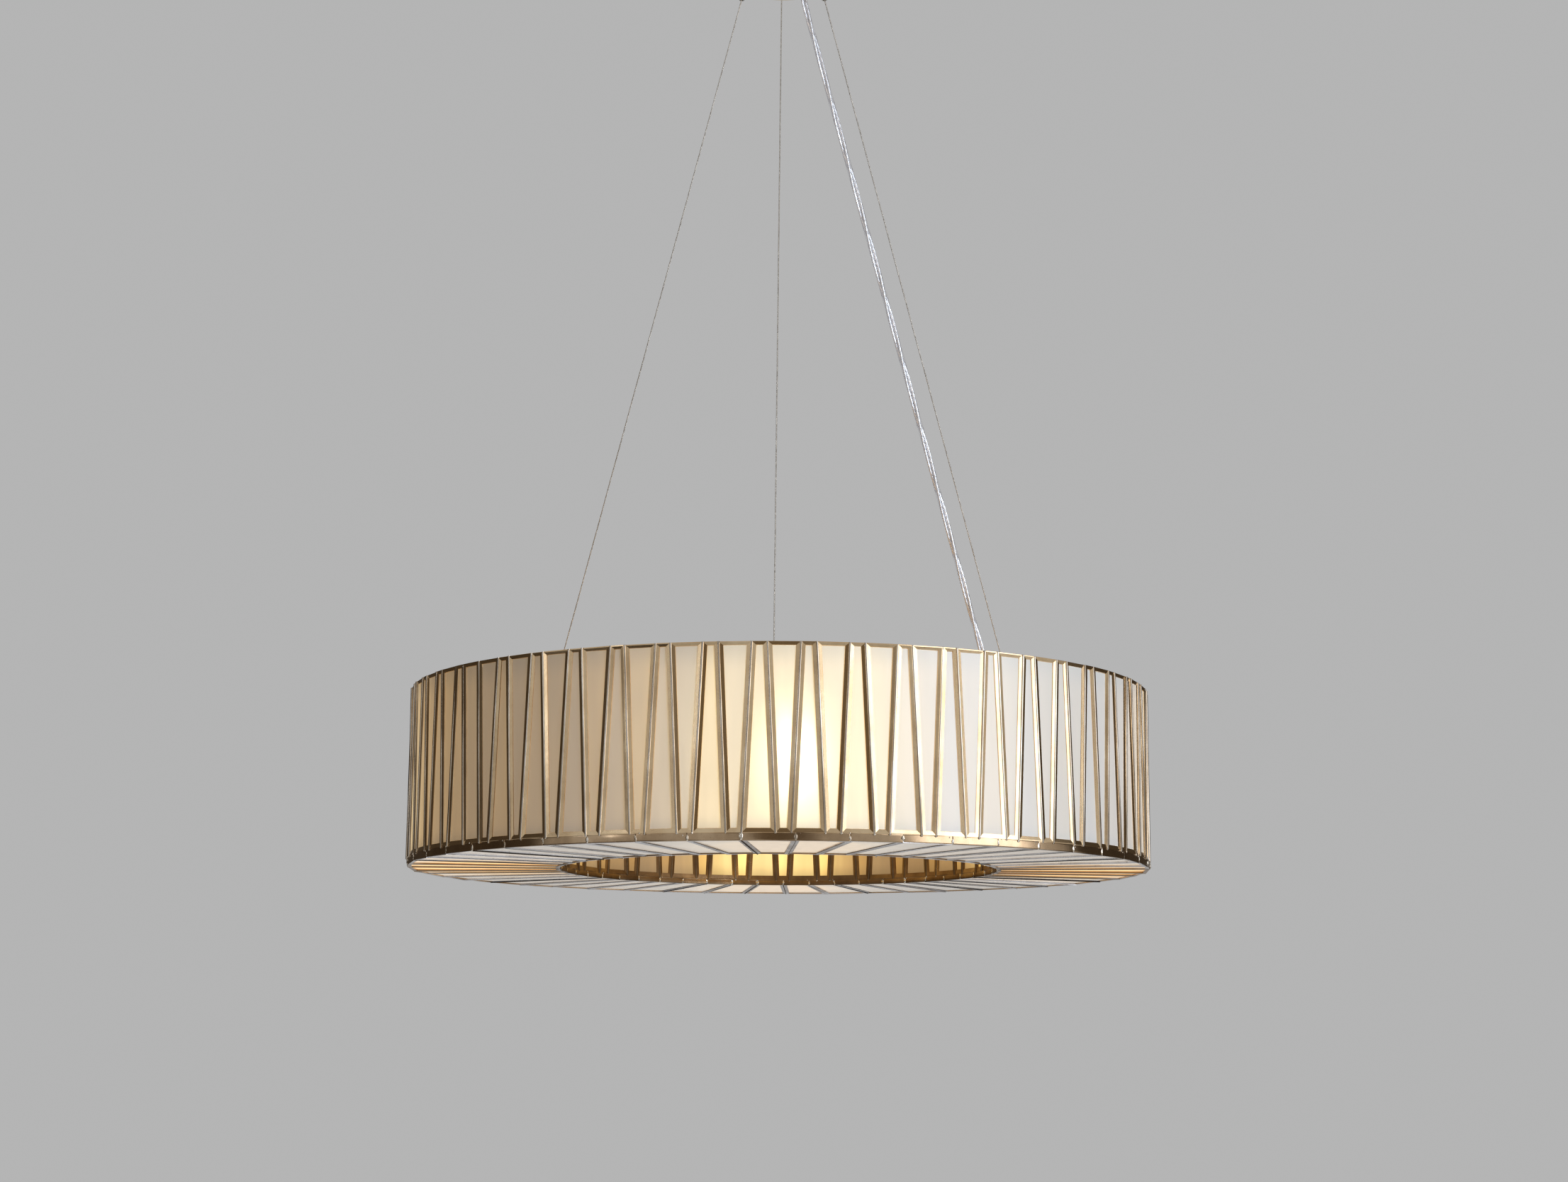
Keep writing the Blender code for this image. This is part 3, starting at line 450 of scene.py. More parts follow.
def draw_out(x, y, z):
    """Extrude what is picked by this move."""
    bpy.ops.mesh.extrude_region_move(TRANSFORM_OT_translate={"value": (x, y, z)})


def pick_points(test):
    """Select the points of the piece in edit mode that pass the test, and what lies between them."""
    mesh = bmesh.from_edit_mesh(bpy.context.object.data)
    bpy.ops.mesh.select_mode(type="VERT")
    for point in mesh.verts:
        point.select_set(bool(test(point.co)))
    mesh.select_flush_mode()
    bmesh.update_edit_mesh(bpy.context.object.data)


def pick_open_edges(test):
    """Select the open edges whose middle passes the test."""
    mesh = bmesh.from_edit_mesh(bpy.context.object.data)
    bpy.ops.mesh.select_mode(type="EDGE")
    for edge in mesh.edges:
        middle = (edge.verts[0].co + edge.verts[1].co) / 2.0
        edge.select_set(edge.is_boundary and bool(test(middle)))
    bmesh.update_edit_mesh(bpy.context.object.data)


def fix_place(*pieces):
    """Move each piece's place, turn and scale into its mesh."""
    take(*pieces)
    bpy.ops.object.transform_apply(location=True, rotation=True, scale=True)


def joined(pieces, name):
    """Join the pieces into one with its place in its mesh."""
    fix_place(*pieces)
    if len(pieces) > 1:
        bpy.ops.object.join()
    piece = bpy.context.object
    piece.name = name
    piece.data.name = name
    return piece


def copy_to(piece, matrix):
    """Copy a modelled piece to its place, with its own mesh."""
    twin = piece.copy()
    twin.data = piece.data.copy()
    bpy.context.scene.collection.objects.link(twin)
    twin.matrix_world = matrix
    return twin


def discard(*pieces):
    for piece in pieces:
        bpy.data.objects.remove(piece, do_unlink=True)


def finish_piece(piece, material, smooth_deg=None, replaces=(), body="root"):
    """Give a piece its material and shading, hang it on its body, and hide the CAD nodes that it stands
    for.
    """
    piece.data.materials.clear()
    piece.data.materials.append(material)
    if smooth_deg is not None:
        take(piece)
        bpy.ops.object.shade_smooth_by_angle(angle=math.radians(smooth_deg))
    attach(piece, body)
    if replaces:
        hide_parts(*replaces)


def finish_joined(parts, name, material, smooth_deg, replaces=(), body="root"):
    """Join the parts into one finished piece."""
    finish_piece(joined(parts, name), material, smooth_deg, replaces, body)


# Materials


class Finish:
    """The nodes of a material or of the surroundings, with short ways to add and join them."""

    def __init__(self, name, surroundings=False):
        self.made = (bpy.data.worlds if surroundings else bpy.data.materials).new(name)
        self.made.use_nodes = True
        self.nodes = self.made.node_tree.nodes
        self.links = self.made.node_tree.links
        self.shader = self.nodes["Background" if surroundings else "Principled BSDF"]

    def add(self, kind, **settings):
        node = self.nodes.new(kind)
        for key, value in settings.items():
            setattr(node, key, value)
        return node

    def join(self, source, target):
        self.links.new(source, target)

    def set(self, **values):
        """Set sockets of the shader, named with _ in place of spaces."""
        for name, value in values.items():
            self.shader.inputs[name.replace("_", " ")].default_value = value

    def feed(self, source, name):
        self.join(source, self.shader.inputs[name])

    def places(self):
        return self.add("ShaderNodeTexCoord").outputs["Object"]

    def stretched_places(self, scale):
        mapping = self.add("ShaderNodeMapping")
        mapping.inputs["Scale"].default_value = scale
        self.join(self.places(), mapping.inputs["Vector"])
        return mapping.outputs["Vector"]

    def noise(self, scale, detail=3.0, roughness=0.55, stretch=None):
        source = self.stretched_places(stretch) if stretch else self.places()
        texture = self.add("ShaderNodeTexNoise")
        for name, value in (("Scale", scale), ("Detail", detail), ("Roughness", roughness)):
            texture.inputs[name].default_value = value
        self.join(source, texture.inputs["Vector"])
        return texture.outputs["Fac"]

    def ramp(self, source, stops):
        node = self.add("ShaderNodeValToRGB")
        band = node.color_ramp
        band.elements[0].position = stops[0][0]
        band.elements[0].color = (*stops[0][1], 1.0)
        band.elements[1].position = stops[-1][0]
        band.elements[1].color = (*stops[-1][1], 1.0)
        for place, colour in stops[1:-1]:
            band.elements.new(place).color = (*colour, 1.0)
        self.join(source, node.inputs["Fac"])
        return node.outputs["Color"]

    def colour_along(self, source, *stops):
        """Colour the surface along the stops."""
        self.feed(self.ramp(source, stops), "Base Color")

    def span(self, source, low, high, to_low=0.0, to_high=1.0, smooth=False):
        node = self.add("ShaderNodeMapRange", interpolation_type="SMOOTHSTEP" if smooth else "LINEAR")
        for name, value in (("From Min", low), ("From Max", high), ("To Min", to_low), ("To Max", to_high)):
            node.inputs[name].default_value = value
        self.join(source, node.inputs["Value"])
        return node.outputs["Result"]

    def calc(self, operation, first, second=None):
        node = self.add("ShaderNodeMath", operation=operation)
        for socket, value in zip(node.inputs, (first, second)):
            if value is None:
                continue
            if isinstance(value, (int, float)):
                socket.default_value = value
            else:
                self.join(value, socket)
        return node.outputs["Value"]

    def mix(self, factor, first, second):
        node = self.add("ShaderNodeMix", data_type="RGBA")
        for socket, value in zip((node.inputs[0], node.inputs[6], node.inputs[7]), (factor, first, second)):
            if isinstance(value, tuple):
                socket.default_value = (*value, 1.0)
            elif isinstance(value, (int, float)):
                socket.default_value = value
            else:
                self.join(value, socket)
        return node.outputs[2]

    def bump(self, height, strength, distance):
        node = self.add("ShaderNodeBump")
        node.inputs["Strength"].default_value = strength
        node.inputs["Distance"].default_value = distance
        self.join(height, node.inputs["Height"])
        self.join(node.outputs["Normal"], self.shader.inputs["Normal"])


def aged_metal(name, clean, worn, patina, amount, rough_low, rough_high, bump):
    """Metal with warm patina in soft patches, fine specks and uneven polish."""
    finish = Finish(name)
    finish.set(Metallic=1.0)
    patches = finish.noise(18.0, 4.0, 0.6)
    streaks = finish.noise(70.0, 3.0, 0.5, stretch=(1.0, 1.0, 0.12))
    specks = finish.noise(420.0, 2.0, 0.6)
    patina_at = 0.5 + 0.3 / max(amount, 0.1)
    tone = finish.ramp(patches, ((0.34, clean), (0.5, worn), (patina_at, patina)))
    streaked = finish.mix(finish.span(streaks, 0.4, 0.75, 0.0, 0.35 * amount), tone, patina)
    specked = finish.mix(finish.span(specks, 0.62, 0.74, 0.0, 0.45 * amount), streaked, patina)
    finish.feed(specked, "Base Color")
    finish.feed(finish.span(patches, 0.3, 0.7, rough_low, rough_high), "Roughness")
    finish.bump(finish.noise(90.0, 2.0, 0.5), bump, 0.0005)
    return finish.made


def make_seam():
    finish = Finish("dark_seam")
    finish.set(Metallic=0.4, Roughness=0.62)
    finish.colour_along(finish.noise(90.0), (0.3, (0.020, 0.014, 0.010)), (0.75, (0.085, 0.055, 0.034)))
    finish.bump(finish.noise(300.0), 0.4, 0.0005)
    return finish.made


def make_soldered_came():
    """Came of the underside: tinned, rippled by the iron, and brown where the side lamps light it."""
    finish = Finish("tinned_came")
    finish.set(Metallic=1.0)
    patches = finish.noise(30.0, 4.0, 0.6)
    ripples = finish.noise(240.0, 2.0, 0.6)
    stops = ((0.32, (0.94, 0.92, 0.93)), (0.55, (0.87, 0.84, 0.84)), (0.8, (0.60, 0.53, 0.48)))
    lit = finish.span(lamp_glow(finish, **CAME_LAMPS), 0.20, 0.50)
    tone = finish.mix(lit, finish.ramp(patches, stops), (0.36, 0.24, 0.13))
    rippled = finish.mix(finish.span(ripples, 0.6, 0.75, 0.0, 0.4), tone, (0.30, 0.25, 0.20))
    finish.feed(rippled, "Base Color")
    finish.feed(finish.span(patches, 0.3, 0.7, 0.2, 0.36), "Roughness")
    finish.bump(ripples, 0.12, 0.0005)
    return finish.made


def lamp_glow(finish, soft_reach, strength, fall, peak, floor, side_share):
    """Return how brightly the four lamps, those at the sides by their share, light a spot of the glass."""
    place = finish.stretched_places((1.0, 1.0, GLOW_SQUEEZE))
    total = None
    for index in range(LAMPS):
        lamp = polar(CARRIER_R, LAMP_START_DEG + index * 360.0 / LAMPS, BULB_MID_Z * GLOW_SQUEEZE)
        reach = finish.add("ShaderNodeVectorMath", operation="DISTANCE")
        reach.inputs[1].default_value = lamp
        finish.join(place, reach.inputs[0])
        near, core = (
            finish.calc("MINIMUM", finish.calc("DIVIDE", full, reach.outputs["Value"]), 1.0)
            for full in (soft_reach, CORE_REACH)
        )
        share = side_share if index % 2 else 1.0
        soft = finish.calc("MULTIPLY", finish.calc("POWER", near, fall), strength * share)
        sharp = finish.calc("MULTIPLY", finish.calc("POWER", core, CORE_FALL), peak)
        light = finish.calc("ADD", soft, sharp)
        total = light if total is None else finish.calc("ADD", total, light)
    return finish.calc("ADD", total, floor)


def make_opal(name, lamps, cool, warm, deep, glow_colours, tone_reach, upright):
    """Opal glass: cloudy, satin on the face, each pane of its own shade, deeper where lamps light it."""
    finish = Finish(name)
    finish.set(Roughness=0.30, IOR=1.48)
    own = finish.add("ShaderNodeAttribute", attribute_name="pane_tone").outputs["Fac"]
    cloud = finish.noise(14.0, 4.0, 0.6)
    veins = finish.noise(70.0, 3.0, 0.55, stretch=(1.0, 1.0, 0.14))
    shade = finish.calc("ADD", finish.calc("MULTIPLY", own, 0.75), finish.calc("MULTIPLY", cloud, 0.25))
    glow = lamp_glow(finish, **lamps)
    body = finish.mix(finish.span(glow, *TINT_GLOW), finish.mix(shade, cool, warm), deep)
    finish.feed(body, "Base Color")
    finish.feed(finish.span(glow, *DULL_GLOW, 0.5, 0.0), "Specular IOR Level")
    strength = finish.span(own, 0.0, 1.0, 1.0 - tone_reach, 1.0 + tone_reach)
    if upright:
        parts = finish.add("ShaderNodeSeparateXYZ")
        finish.join(finish.places(), parts.inputs["Vector"])
        foot_low, foot_high = (SHADE_BOTTOM + reach for reach in FOOT_REACH)
        head_low = SHADE_TOP - HEAD_REACH
        above = finish.span(parts.outputs["Z"], foot_low, foot_high, FOOT_SHARE, smooth=True)
        below = finish.span(parts.outputs["Z"], head_low, SHADE_TOP, 1.0, HEAD_SHARE, smooth=True)
        strength = finish.calc("MULTIPLY", strength, finish.calc("MULTIPLY", above, below))
    uneven = finish.calc("MULTIPLY", strength, finish.span(veins, 0.3, 0.7, 0.90, 1.09))
    finish.feed(finish.calc("MULTIPLY", uneven, glow), "Emission Strength")
    along = finish.span(glow, *COLOUR_GLOW)
    pale, rich = (finish.ramp(along, tuple(zip(COLOUR_STOPS, colours))) for colours in glow_colours)
    finish.feed(finish.mix(own, pale, rich), "Emission Color")
    finish.bump(cloud, 0.10, 0.002)
    return finish.made


def make_cable_steel():
    finish = Finish("cable_steel")
    finish.set(Metallic=1.0)
    tone = finish.noise(300.0, 2.0, 0.5)
    finish.colour_along(tone, (0.3, (0.86, 0.81, 0.73)), (0.7, (0.52, 0.48, 0.43)))
    finish.feed(finish.span(tone, 0.3, 0.7, 0.22, 0.4), "Roughness")
    finish.bump(finish.noise(900.0), 0.2, 0.0002)
    return finish.made


def make_jacket():
    finish = Finish("clear_jacket")
    finish.set(Roughness=0.06, IOR=1.42, Transmission_Weight=1.0)
    haze = finish.noise(40.0, 2.0, 0.5)
    finish.colour_along(haze, (0.3, (0.99, 0.99, 1.0)), (0.7, (0.96, 0.96, 0.99)))
    finish.bump(haze, 0.05, 0.001)
    return finish.made


def make_conductor():
    """Tinned strands: fine bright wires that wind round the conductor, read from its own UV map, with
    painted shade in the grooves between them.
    """
    finish = Finish("tinned_strands")
    finish.set(Metallic=1.0, Roughness=0.34)
    uv = finish.add("ShaderNodeUVMap", uv_map="lay")
    parts = finish.add("ShaderNodeSeparateXYZ")
    finish.join(uv.outputs["UV"], parts.inputs["Vector"])
    around = finish.calc("MULTIPLY", parts.outputs["X"], STRANDS_ROUND)
    along = finish.calc("MULTIPLY", parts.outputs["Y"], STRANDS_PER_M)
    turn_share = finish.calc("FRACT", finish.calc("ADD", around, along))
    ridge = finish.calc("ABSOLUTE", finish.calc("SUBTRACT", turn_share, 0.5))
    # Painted shade: the colour falls from bright tin on each strand's crown to a dark grey in the grooves
    # between strands
    stops = ((0.0, (0.95, 0.94, 0.95)), (0.34, (0.88, 0.87, 0.89)), (0.5, (0.50, 0.48, 0.54)))
    finish.colour_along(ridge, *stops)
    finish.bump(finish.calc("SUBTRACT", 1.0, ridge), 0.3, 0.0003)
    return finish.made


def make_porcelain():
    finish = Finish("glazed_porcelain")
    finish.set(Roughness=0.18)
    cloud = finish.noise(40.0)
    finish.colour_along(cloud, (0.3, (0.80, 0.79, 0.76)), (0.7, (0.72, 0.70, 0.66)))
    finish.bump(cloud, 0.05, 0.001)
    return finish.made


def make_bulb_glass():
    finish = Finish("lit_frosted_bulb")
    finish.set(Roughness=0.4, Emission_Color=(1.0, 0.80, 0.52, 1.0))
    soft = finish.noise(50.0)
    finish.colour_along(soft, (0.3, (0.90, 0.86, 0.78)), (0.7, (0.84, 0.79, 0.70)))
    finish.feed(finish.span(soft, 0.3, 0.7, 2.8, 3.2), "Emission Strength")
    return finish.made


def make_gland_plastic():
    finish = Finish("gland_plastic")
    finish.set(Roughness=0.45)
    finish.colour_along(finish.noise(200.0), (0.3, (0.52, 0.52, 0.50)), (0.7, (0.44, 0.44, 0.42)))
    finish.bump(finish.noise(500.0), 0.2, 0.0003)
    return finish.made


# Cords


def smooth_route(points, step):
    """Return points a step apart on a smooth curve through the given ones."""
    route = [Vector(point) for point in points]
    ends = [route[0] * 2.0 - route[1]] + route + [route[-1] * 2.0 - route[-2]]
    fine = []
    for before, start, end, after in zip(ends, ends[1:], ends[2:], ends[3:]):
        count = max(1, round((end - start).length / step))
        for i in range(count):
            t = i / count
            fine.append(
                (start * 2.0 + (end - before) * t
                 + (before * 2.0 - start * 5.0 + end * 4.0 - after) * t * t
                 + (start * 3.0 - before - end * 3.0 + after) * t ** 3) / 2.0
            )
    fine.append(route[-1])
    return fine


def carried_frames(route):
    """Return (side, up) directions along a route that turn no more than it does."""
    frames = []
    side = None
    for index in range(len(route)):
        ahead = route[min(index + 1, len(route) - 1)] - route[max(index - 1, 0)]
        along = ahead.normalized()
        if side is None:
            side = along.orthogonal().normalized()
        side = (side - along * side.dot(along)).normalized()
        frames.append((side, along.cross(side).normalized()))
    return frames


def wound(route, frames, track_r, start_turn, lay):
    """Return the line that winds round a route once every lay."""
    line = []
    travelled = 0.0
    for index, point in enumerate(route):
        if index:
            travelled += (point - route[index - 1]).length
        angle = math.tau * (start_turn + travelled / lay)
        side, up = frames[index]
        line.append(point + side * math.cos(angle) * track_r + up * math.sin(angle) * track_r)
    return line


def sweep_tube(mesh, route, radius, sides, uv):
    """Add a closed tube along a route, with a UV map of turns around and metres along."""
    frames = carried_frames(route)
    rings = []
    lengths = []
    travelled = 0.0
    for index, point in enumerate(route):
        if index:
            travelled += (point - route[index - 1]).length
        lengths.append(travelled)
        side, up = frames[index]
        ring = []
        for i in range(sides):
            angle = math.tau * i / sides
            ring.append(mesh.verts.new(point + (side * math.cos(angle) + up * math.sin(angle)) * radius))
        rings.append(ring)
    for index, (low, high) in enumerate(zip(rings, rings[1:])):
        for i in range(sides):
            nxt = (i + 1) % sides
            face = mesh.faces.new((low[i], low[nxt], high[nxt], high[i]))
            face.smooth = True
            shares = (i / sides, (i + 1) / sides, (i + 1) / sides, i / sides)
            heights = (lengths[index], lengths[index], lengths[index + 1], lengths[index + 1])
            for loop, share, height in zip(face.loops, shares, heights):
                loop[uv].uv = (share, height)
    mesh.faces.new(list(reversed(rings[0])))
    mesh.faces.new(rings[-1])


def tube_piece(name, routes, radius, sides):
    """Return one piece of tubes along the routes."""
    mesh = bmesh.new()
    uv = mesh.loops.layers.uv.new("lay")
    for route in routes:
        sweep_tube(mesh, route, radius, sides, uv)
    data = bpy.data.meshes.new(name)
    mesh.to_mesh(data)
    mesh.free()
    piece = bpy.data.objects.new(name, data)
    bpy.context.scene.collection.objects.link(piece)
    return piece


def make_suspension_cables(steel):
    """Make each cable as six wires wound round a core, pulled straight."""
    wire_r = CABLE_D / 6.0
    for index in range(CABLES):
        azimuth = CABLE_START_DEG + index * 360.0 / CABLES
        low = polar(CABLE_LOW_R, azimuth, CABLE_LOW_Z)
        high = polar(CABLE_HIGH_R, azimuth, CABLE_HIGH_Z)
        along = (high - low).normalized()
        start = low + along * CABLE_START
        end = high + along * CABLE_END
        length = (end - start).length
        steps = round(length / CABLE_LAY * CABLE_STEPS_PER_LAY)
        route = [start.lerp(end, i / steps) for i in range(steps + 1)]
        frames = carried_frames(route)
        turns = [i / CABLE_STRANDS for i in range(CABLE_STRANDS)]
        wires = [wound(route, frames, wire_r * 2.0, turn, CABLE_LAY) for turn in turns]
        core = [start.lerp(end, i / CABLE_CORE_STEPS) for i in range(CABLE_CORE_STEPS + 1)]
        cable = tube_piece(f"twisted_cable_{index + 1}", wires + [core], wire_r, CABLE_SIDES)
        finish_piece(cable, steel, replaces=[f"suspension_cable_{index + 1}"])


def make_power_cord(jacket, conductor):
    """Make the clear cord: a jacket with two tinned conductors wound together inside it."""
    route = smooth_route(CORD_ROUTE, CORD_STEP)
    shell = tube_piece("clear_cord_jacket", [route], CORD_D / 2.0, CORD_SIDES)
    finish_piece(shell, jacket, replaces=["power_cord"])
    fine = smooth_route(CORD_ROUTE, CONDUCTOR_STEP)
    frames = carried_frames(fine)
    turns = [i / CONDUCTORS for i in range(CONDUCTORS)]
    wires = [wound(fine, frames, CONDUCTOR_TRACK_R, turn, CONDUCTOR_LAY) for turn in turns]
    core = tube_piece("cord_conductors", wires, CONDUCTOR_R, CONDUCTOR_SIDES)
    finish_piece(core, conductor)


# Panes and frames


def divider_azimuths(start_deg, pairs, closing_deg):
    """Return the (bottom, top) azimuths of a wall's dividers, which lean to and fro in turn."""
    pitch = (360.0 - closing_deg) / pairs
    half_pitch = pitch / 2.0
    lean = (WIDE_SHARE - 0.5) * pitch / 2.0
    count = pairs * 2 + (1 if closing_deg else 0)
    dividers = []
    for index in range(count):
        middle = start_deg + index * half_pitch
        side = lean if index % 2 else -lean
        dividers.append((middle - side, middle + side))
    return dividers


def pane_plane(name, low_left, low_right, high_left, high_right, height):
    """Start a pane's outline as an upright plane that faces the front, its lower edge at height 0."""
    let_go()
    bpy.ops.mesh.primitive_plane_add(size=1.0, rotation=(math.radians(90.0), 0.0, 0.0))
    piece = bpy.context.object
    piece.name = name
    width = low_right - low_left
    piece.scale = (width, height, 1.0)
    piece.location = ((low_left + low_right) / 2.0, 0.0, height / 2.0)
    fix_place(piece)
    edit(piece)
    pick_points(lambda place: place.z > height / 2.0)
    middle = ((low_left + low_right) / 2.0, 0.0, height)
    bpy.ops.transform.resize(value=((high_right - high_left) / width, 1.0, 1.0), center_override=middle)
    shift = (high_left + high_right) / 2.0 - middle[0]
    bpy.ops.transform.translate(value=(shift, 0.0, 0.0))
    bpy.ops.mesh.select_mode(type="FACE")
    pick_all()
    return piece


def pick_widest_face():
    """Select the largest face of the piece in edit mode."""
    bpy.ops.mesh.select_mode(type="FACE")
    mesh = bmesh.from_edit_mesh(bpy.context.object.data)
    widest = max(mesh.faces, key=lambda face: face.calc_area())
    for face in mesh.faces:
        face.select_set(face is widest)
    bmesh.update_edit_mesh(bpy.context.object.data)
    return [point.co.copy() for point in widest.verts]


def shift_points(spots, shift):
    """Move the points that lie at these spots."""
    pick_points(lambda place: any((place - spot).length < 1e-6 for spot in spots))
    bpy.ops.transform.translate(value=shift)


def model_frame(name, corners, height, flanges, slope):
    """Model one pane's came: folded edge, sloped flange, lip down to the glass, sides and rear flange."""
    low_flange, side_flange, high_flange = flanges
    piece = pane_plane(name, *corners, height)
    inset(SEAM_HALF)
    bpy.ops.mesh.select_all(action="INVERT")
    bpy.ops.mesh.delete(type="FACE")
    pick_all()
    width = SEAM_HALF
    for thickness, depth in EDGE_STEPS:
        inset(thickness, depth)
        width += thickness
    inset(side_flange - width, slope)
    spots = pick_widest_face()
    shift_points([spot for spot in spots if spot.z < height / 2.0], (0.0, 0.0, low_flange - side_flange))
    shift_points([spot for spot in spots if spot.z > height / 2.0], (0.0, 0.0, side_flange - high_flange))
    pick_widest_face()
    inset(*LIP_STEP)
    bpy.ops.mesh.delete(type="FACE")
    pick_open_edges(lambda place: abs(place.y) < 1e-5)
    draw_out(0.0, CAME_DEPTH, 0.0)
    bpy.ops.mesh.edge_face_add()
    bpy.ops.mesh.select_mode(type="FACE")
    inset(side_flange)
    bpy.ops.mesh.delete(type="FACE")
    pick_open_edges(lambda place: place.y > 1e-4)
    bpy.ops.mesh.bridge_edge_loops()
    face_outwards()
    done()
    return piece


def strip_piece(name, corners, height, thickness, steps):
    """Model a strip with a crowned face: its edges at depth 0, its lower edge at height 0."""
    piece = pane_plane(name, *corners, height)
    draw_out(0.0, thickness, 0.0)
    face_outwards()
    pick_points(lambda place: place.y < thickness / 2.0)
    bpy.ops.mesh.select_mode(type="FACE")
    for inward, outward in steps:
        inset(inward, outward)
    done()
    return piece


def model_dab(name, size, rng):
    """Model a dab of solder: a low uneven dome, half sunk in the came."""
    let_go()
    bpy.ops.mesh.primitive_uv_sphere_add(segments=8, ring_count=5, radius=1.0)
    piece = bpy.context.object
    piece.name = name
    piece.scale = size
    fix_place(piece)
    edit(piece)
    pick_all()
    bpy.ops.transform.vertex_random(offset=min(size) * DAB_UNEVEN, seed=rng.randint(1, 99))
    done()
    return piece


def model_pane(name, corners, height, flanges):
    """Model one pane: a plate with a slightly crowned face, its edges under the came."""
    low_flange, side_flange, high_flange = flanges
    side = side_flange - PANE_OVERLAP
    low = low_flange - PANE_OVERLAP
    high = height - high_flange + PANE_OVERLAP
    low_left, low_right, high_left, high_right = corners
    slope_left = (high_left - low_left) / height
    slope_right = (high_right - low_right) / height
    shrunk = (
        low_left + slope_left * low + side,
        low_right + slope_right * low - side,
        low_left + slope_left * high + side,
        low_right + slope_right * high - side,
    )
    piece = pane_plane(name, *shrunk, high - low)
    draw_out(0.0, GLASS_T, 0.0)
    face_outwards()
    pick_points(lambda place: place.y < GLASS_T / 2.0)
    bpy.ops.mesh.select_mode(type="FACE")
    inset(*PANE_CROWN)
    pick_all()
    bpy.ops.transform.translate(value=(0.0, PANE_SINK, low))
    done()
    return piece


def set_tone(piece, tone):
    """Store one pane's own shade of glass on its points."""
    layer = piece.data.attributes.new("pane_tone", "FLOAT", "POINT")
    for spot in layer.data:
        spot.value = tone


def wall_places(dividers, radius, low, inward=False):
    """Return each pane's local corners, and the matrix that stands it in the wall."""
    places = []
    side = -1.0 if inward else 1.0
    for index, left in enumerate(dividers):
        right = dividers[(index + 1) % len(dividers)]
        turn_left = 360.0 if right[0] < left[0] - 180.0 else 0.0
        spots = [left[0], right[0] + turn_left, left[1], right[1] + turn_left]
        middle = sum(spots) / 4.0
        across = [radius * math.sin(math.radians(spot - middle)) for spot in spots]
        low_d = radius * math.cos(math.radians((spots[1] - spots[0]) / 2.0))
        high_d = radius * math.cos(math.radians((spots[3] - spots[2]) / 2.0))
        slant = math.asin((high_d - low_d) / (SHADE_TOP - low))
        if inward:
            across = [-across[1], -across[0], -across[3], -across[2]]
        facing = turn_z(middle - 180.0 if inward else middle)
        move_out = Matrix.Translation((0.0, -side * low_d, low))
        places.append((tuple(across), facing @ move_out @ Matrix.Rotation(side * slant, 4, "X")))
    return places


def hand_set(rng, turn_deg, shift):
    """Return a slight turn and shift, as a hand-set frame has."""
    nod = Matrix.Rotation(math.radians(rng.uniform(-turn_deg, turn_deg) * 0.1), 4, "X")
    turn = turn_z(rng.uniform(-turn_deg, turn_deg))
    move = Matrix.Translation((0.0, rng.uniform(-shift, shift), 0.0))
    return move @ turn @ nod


def uneven_size(rng, ranges):
    """Return a scale with each axis drawn from its range."""
    return Matrix.Diagonal([rng.uniform(*reach) for reach in ranges] + [1.0])


def build_part(name, places, height, metal, opal):
    """Model each kind of frame and pane once, then copy them to their places in this part of the shade."""
    (came_node, glass_node), flanges, slope, seed, (wide_tones, narrow_tones) = PARTS[name]
    rng = random.Random(seed)
    kinds = {}
    frames = []
    panes = []
    for corners, matrix in places:
        key = tuple(round(x, 4) for x in corners)
        if key not in kinds:
            kinds[key] = (
                model_frame(f"{name}_frame_kind", corners, height, flanges, slope),
                model_pane(f"{name}_pane_kind", corners, height, flanges),
            )
        frame_kind, pane_kind = kinds[key]
        frames.append(copy_to(frame_kind, matrix @ hand_set(rng, *FRAME_SET)))
        pane = copy_to(pane_kind, matrix @ hand_set(rng, *PANE_SET))
        narrow_foot = corners[1] - corners[0] < corners[3] - corners[2]
        set_tone(pane, rng.uniform(*(narrow_tones if narrow_foot else wide_tones)))
        panes.append(pane)
    finish_joined(frames, f"{name}_frames", metal, SMOOTH_DEG["frames"], [came_node])
    finish_joined(panes, f"{name}_panes", opal, SMOOTH_DEG["panes"], [glass_node])
    for pair in kinds.values():
        discard(*pair)


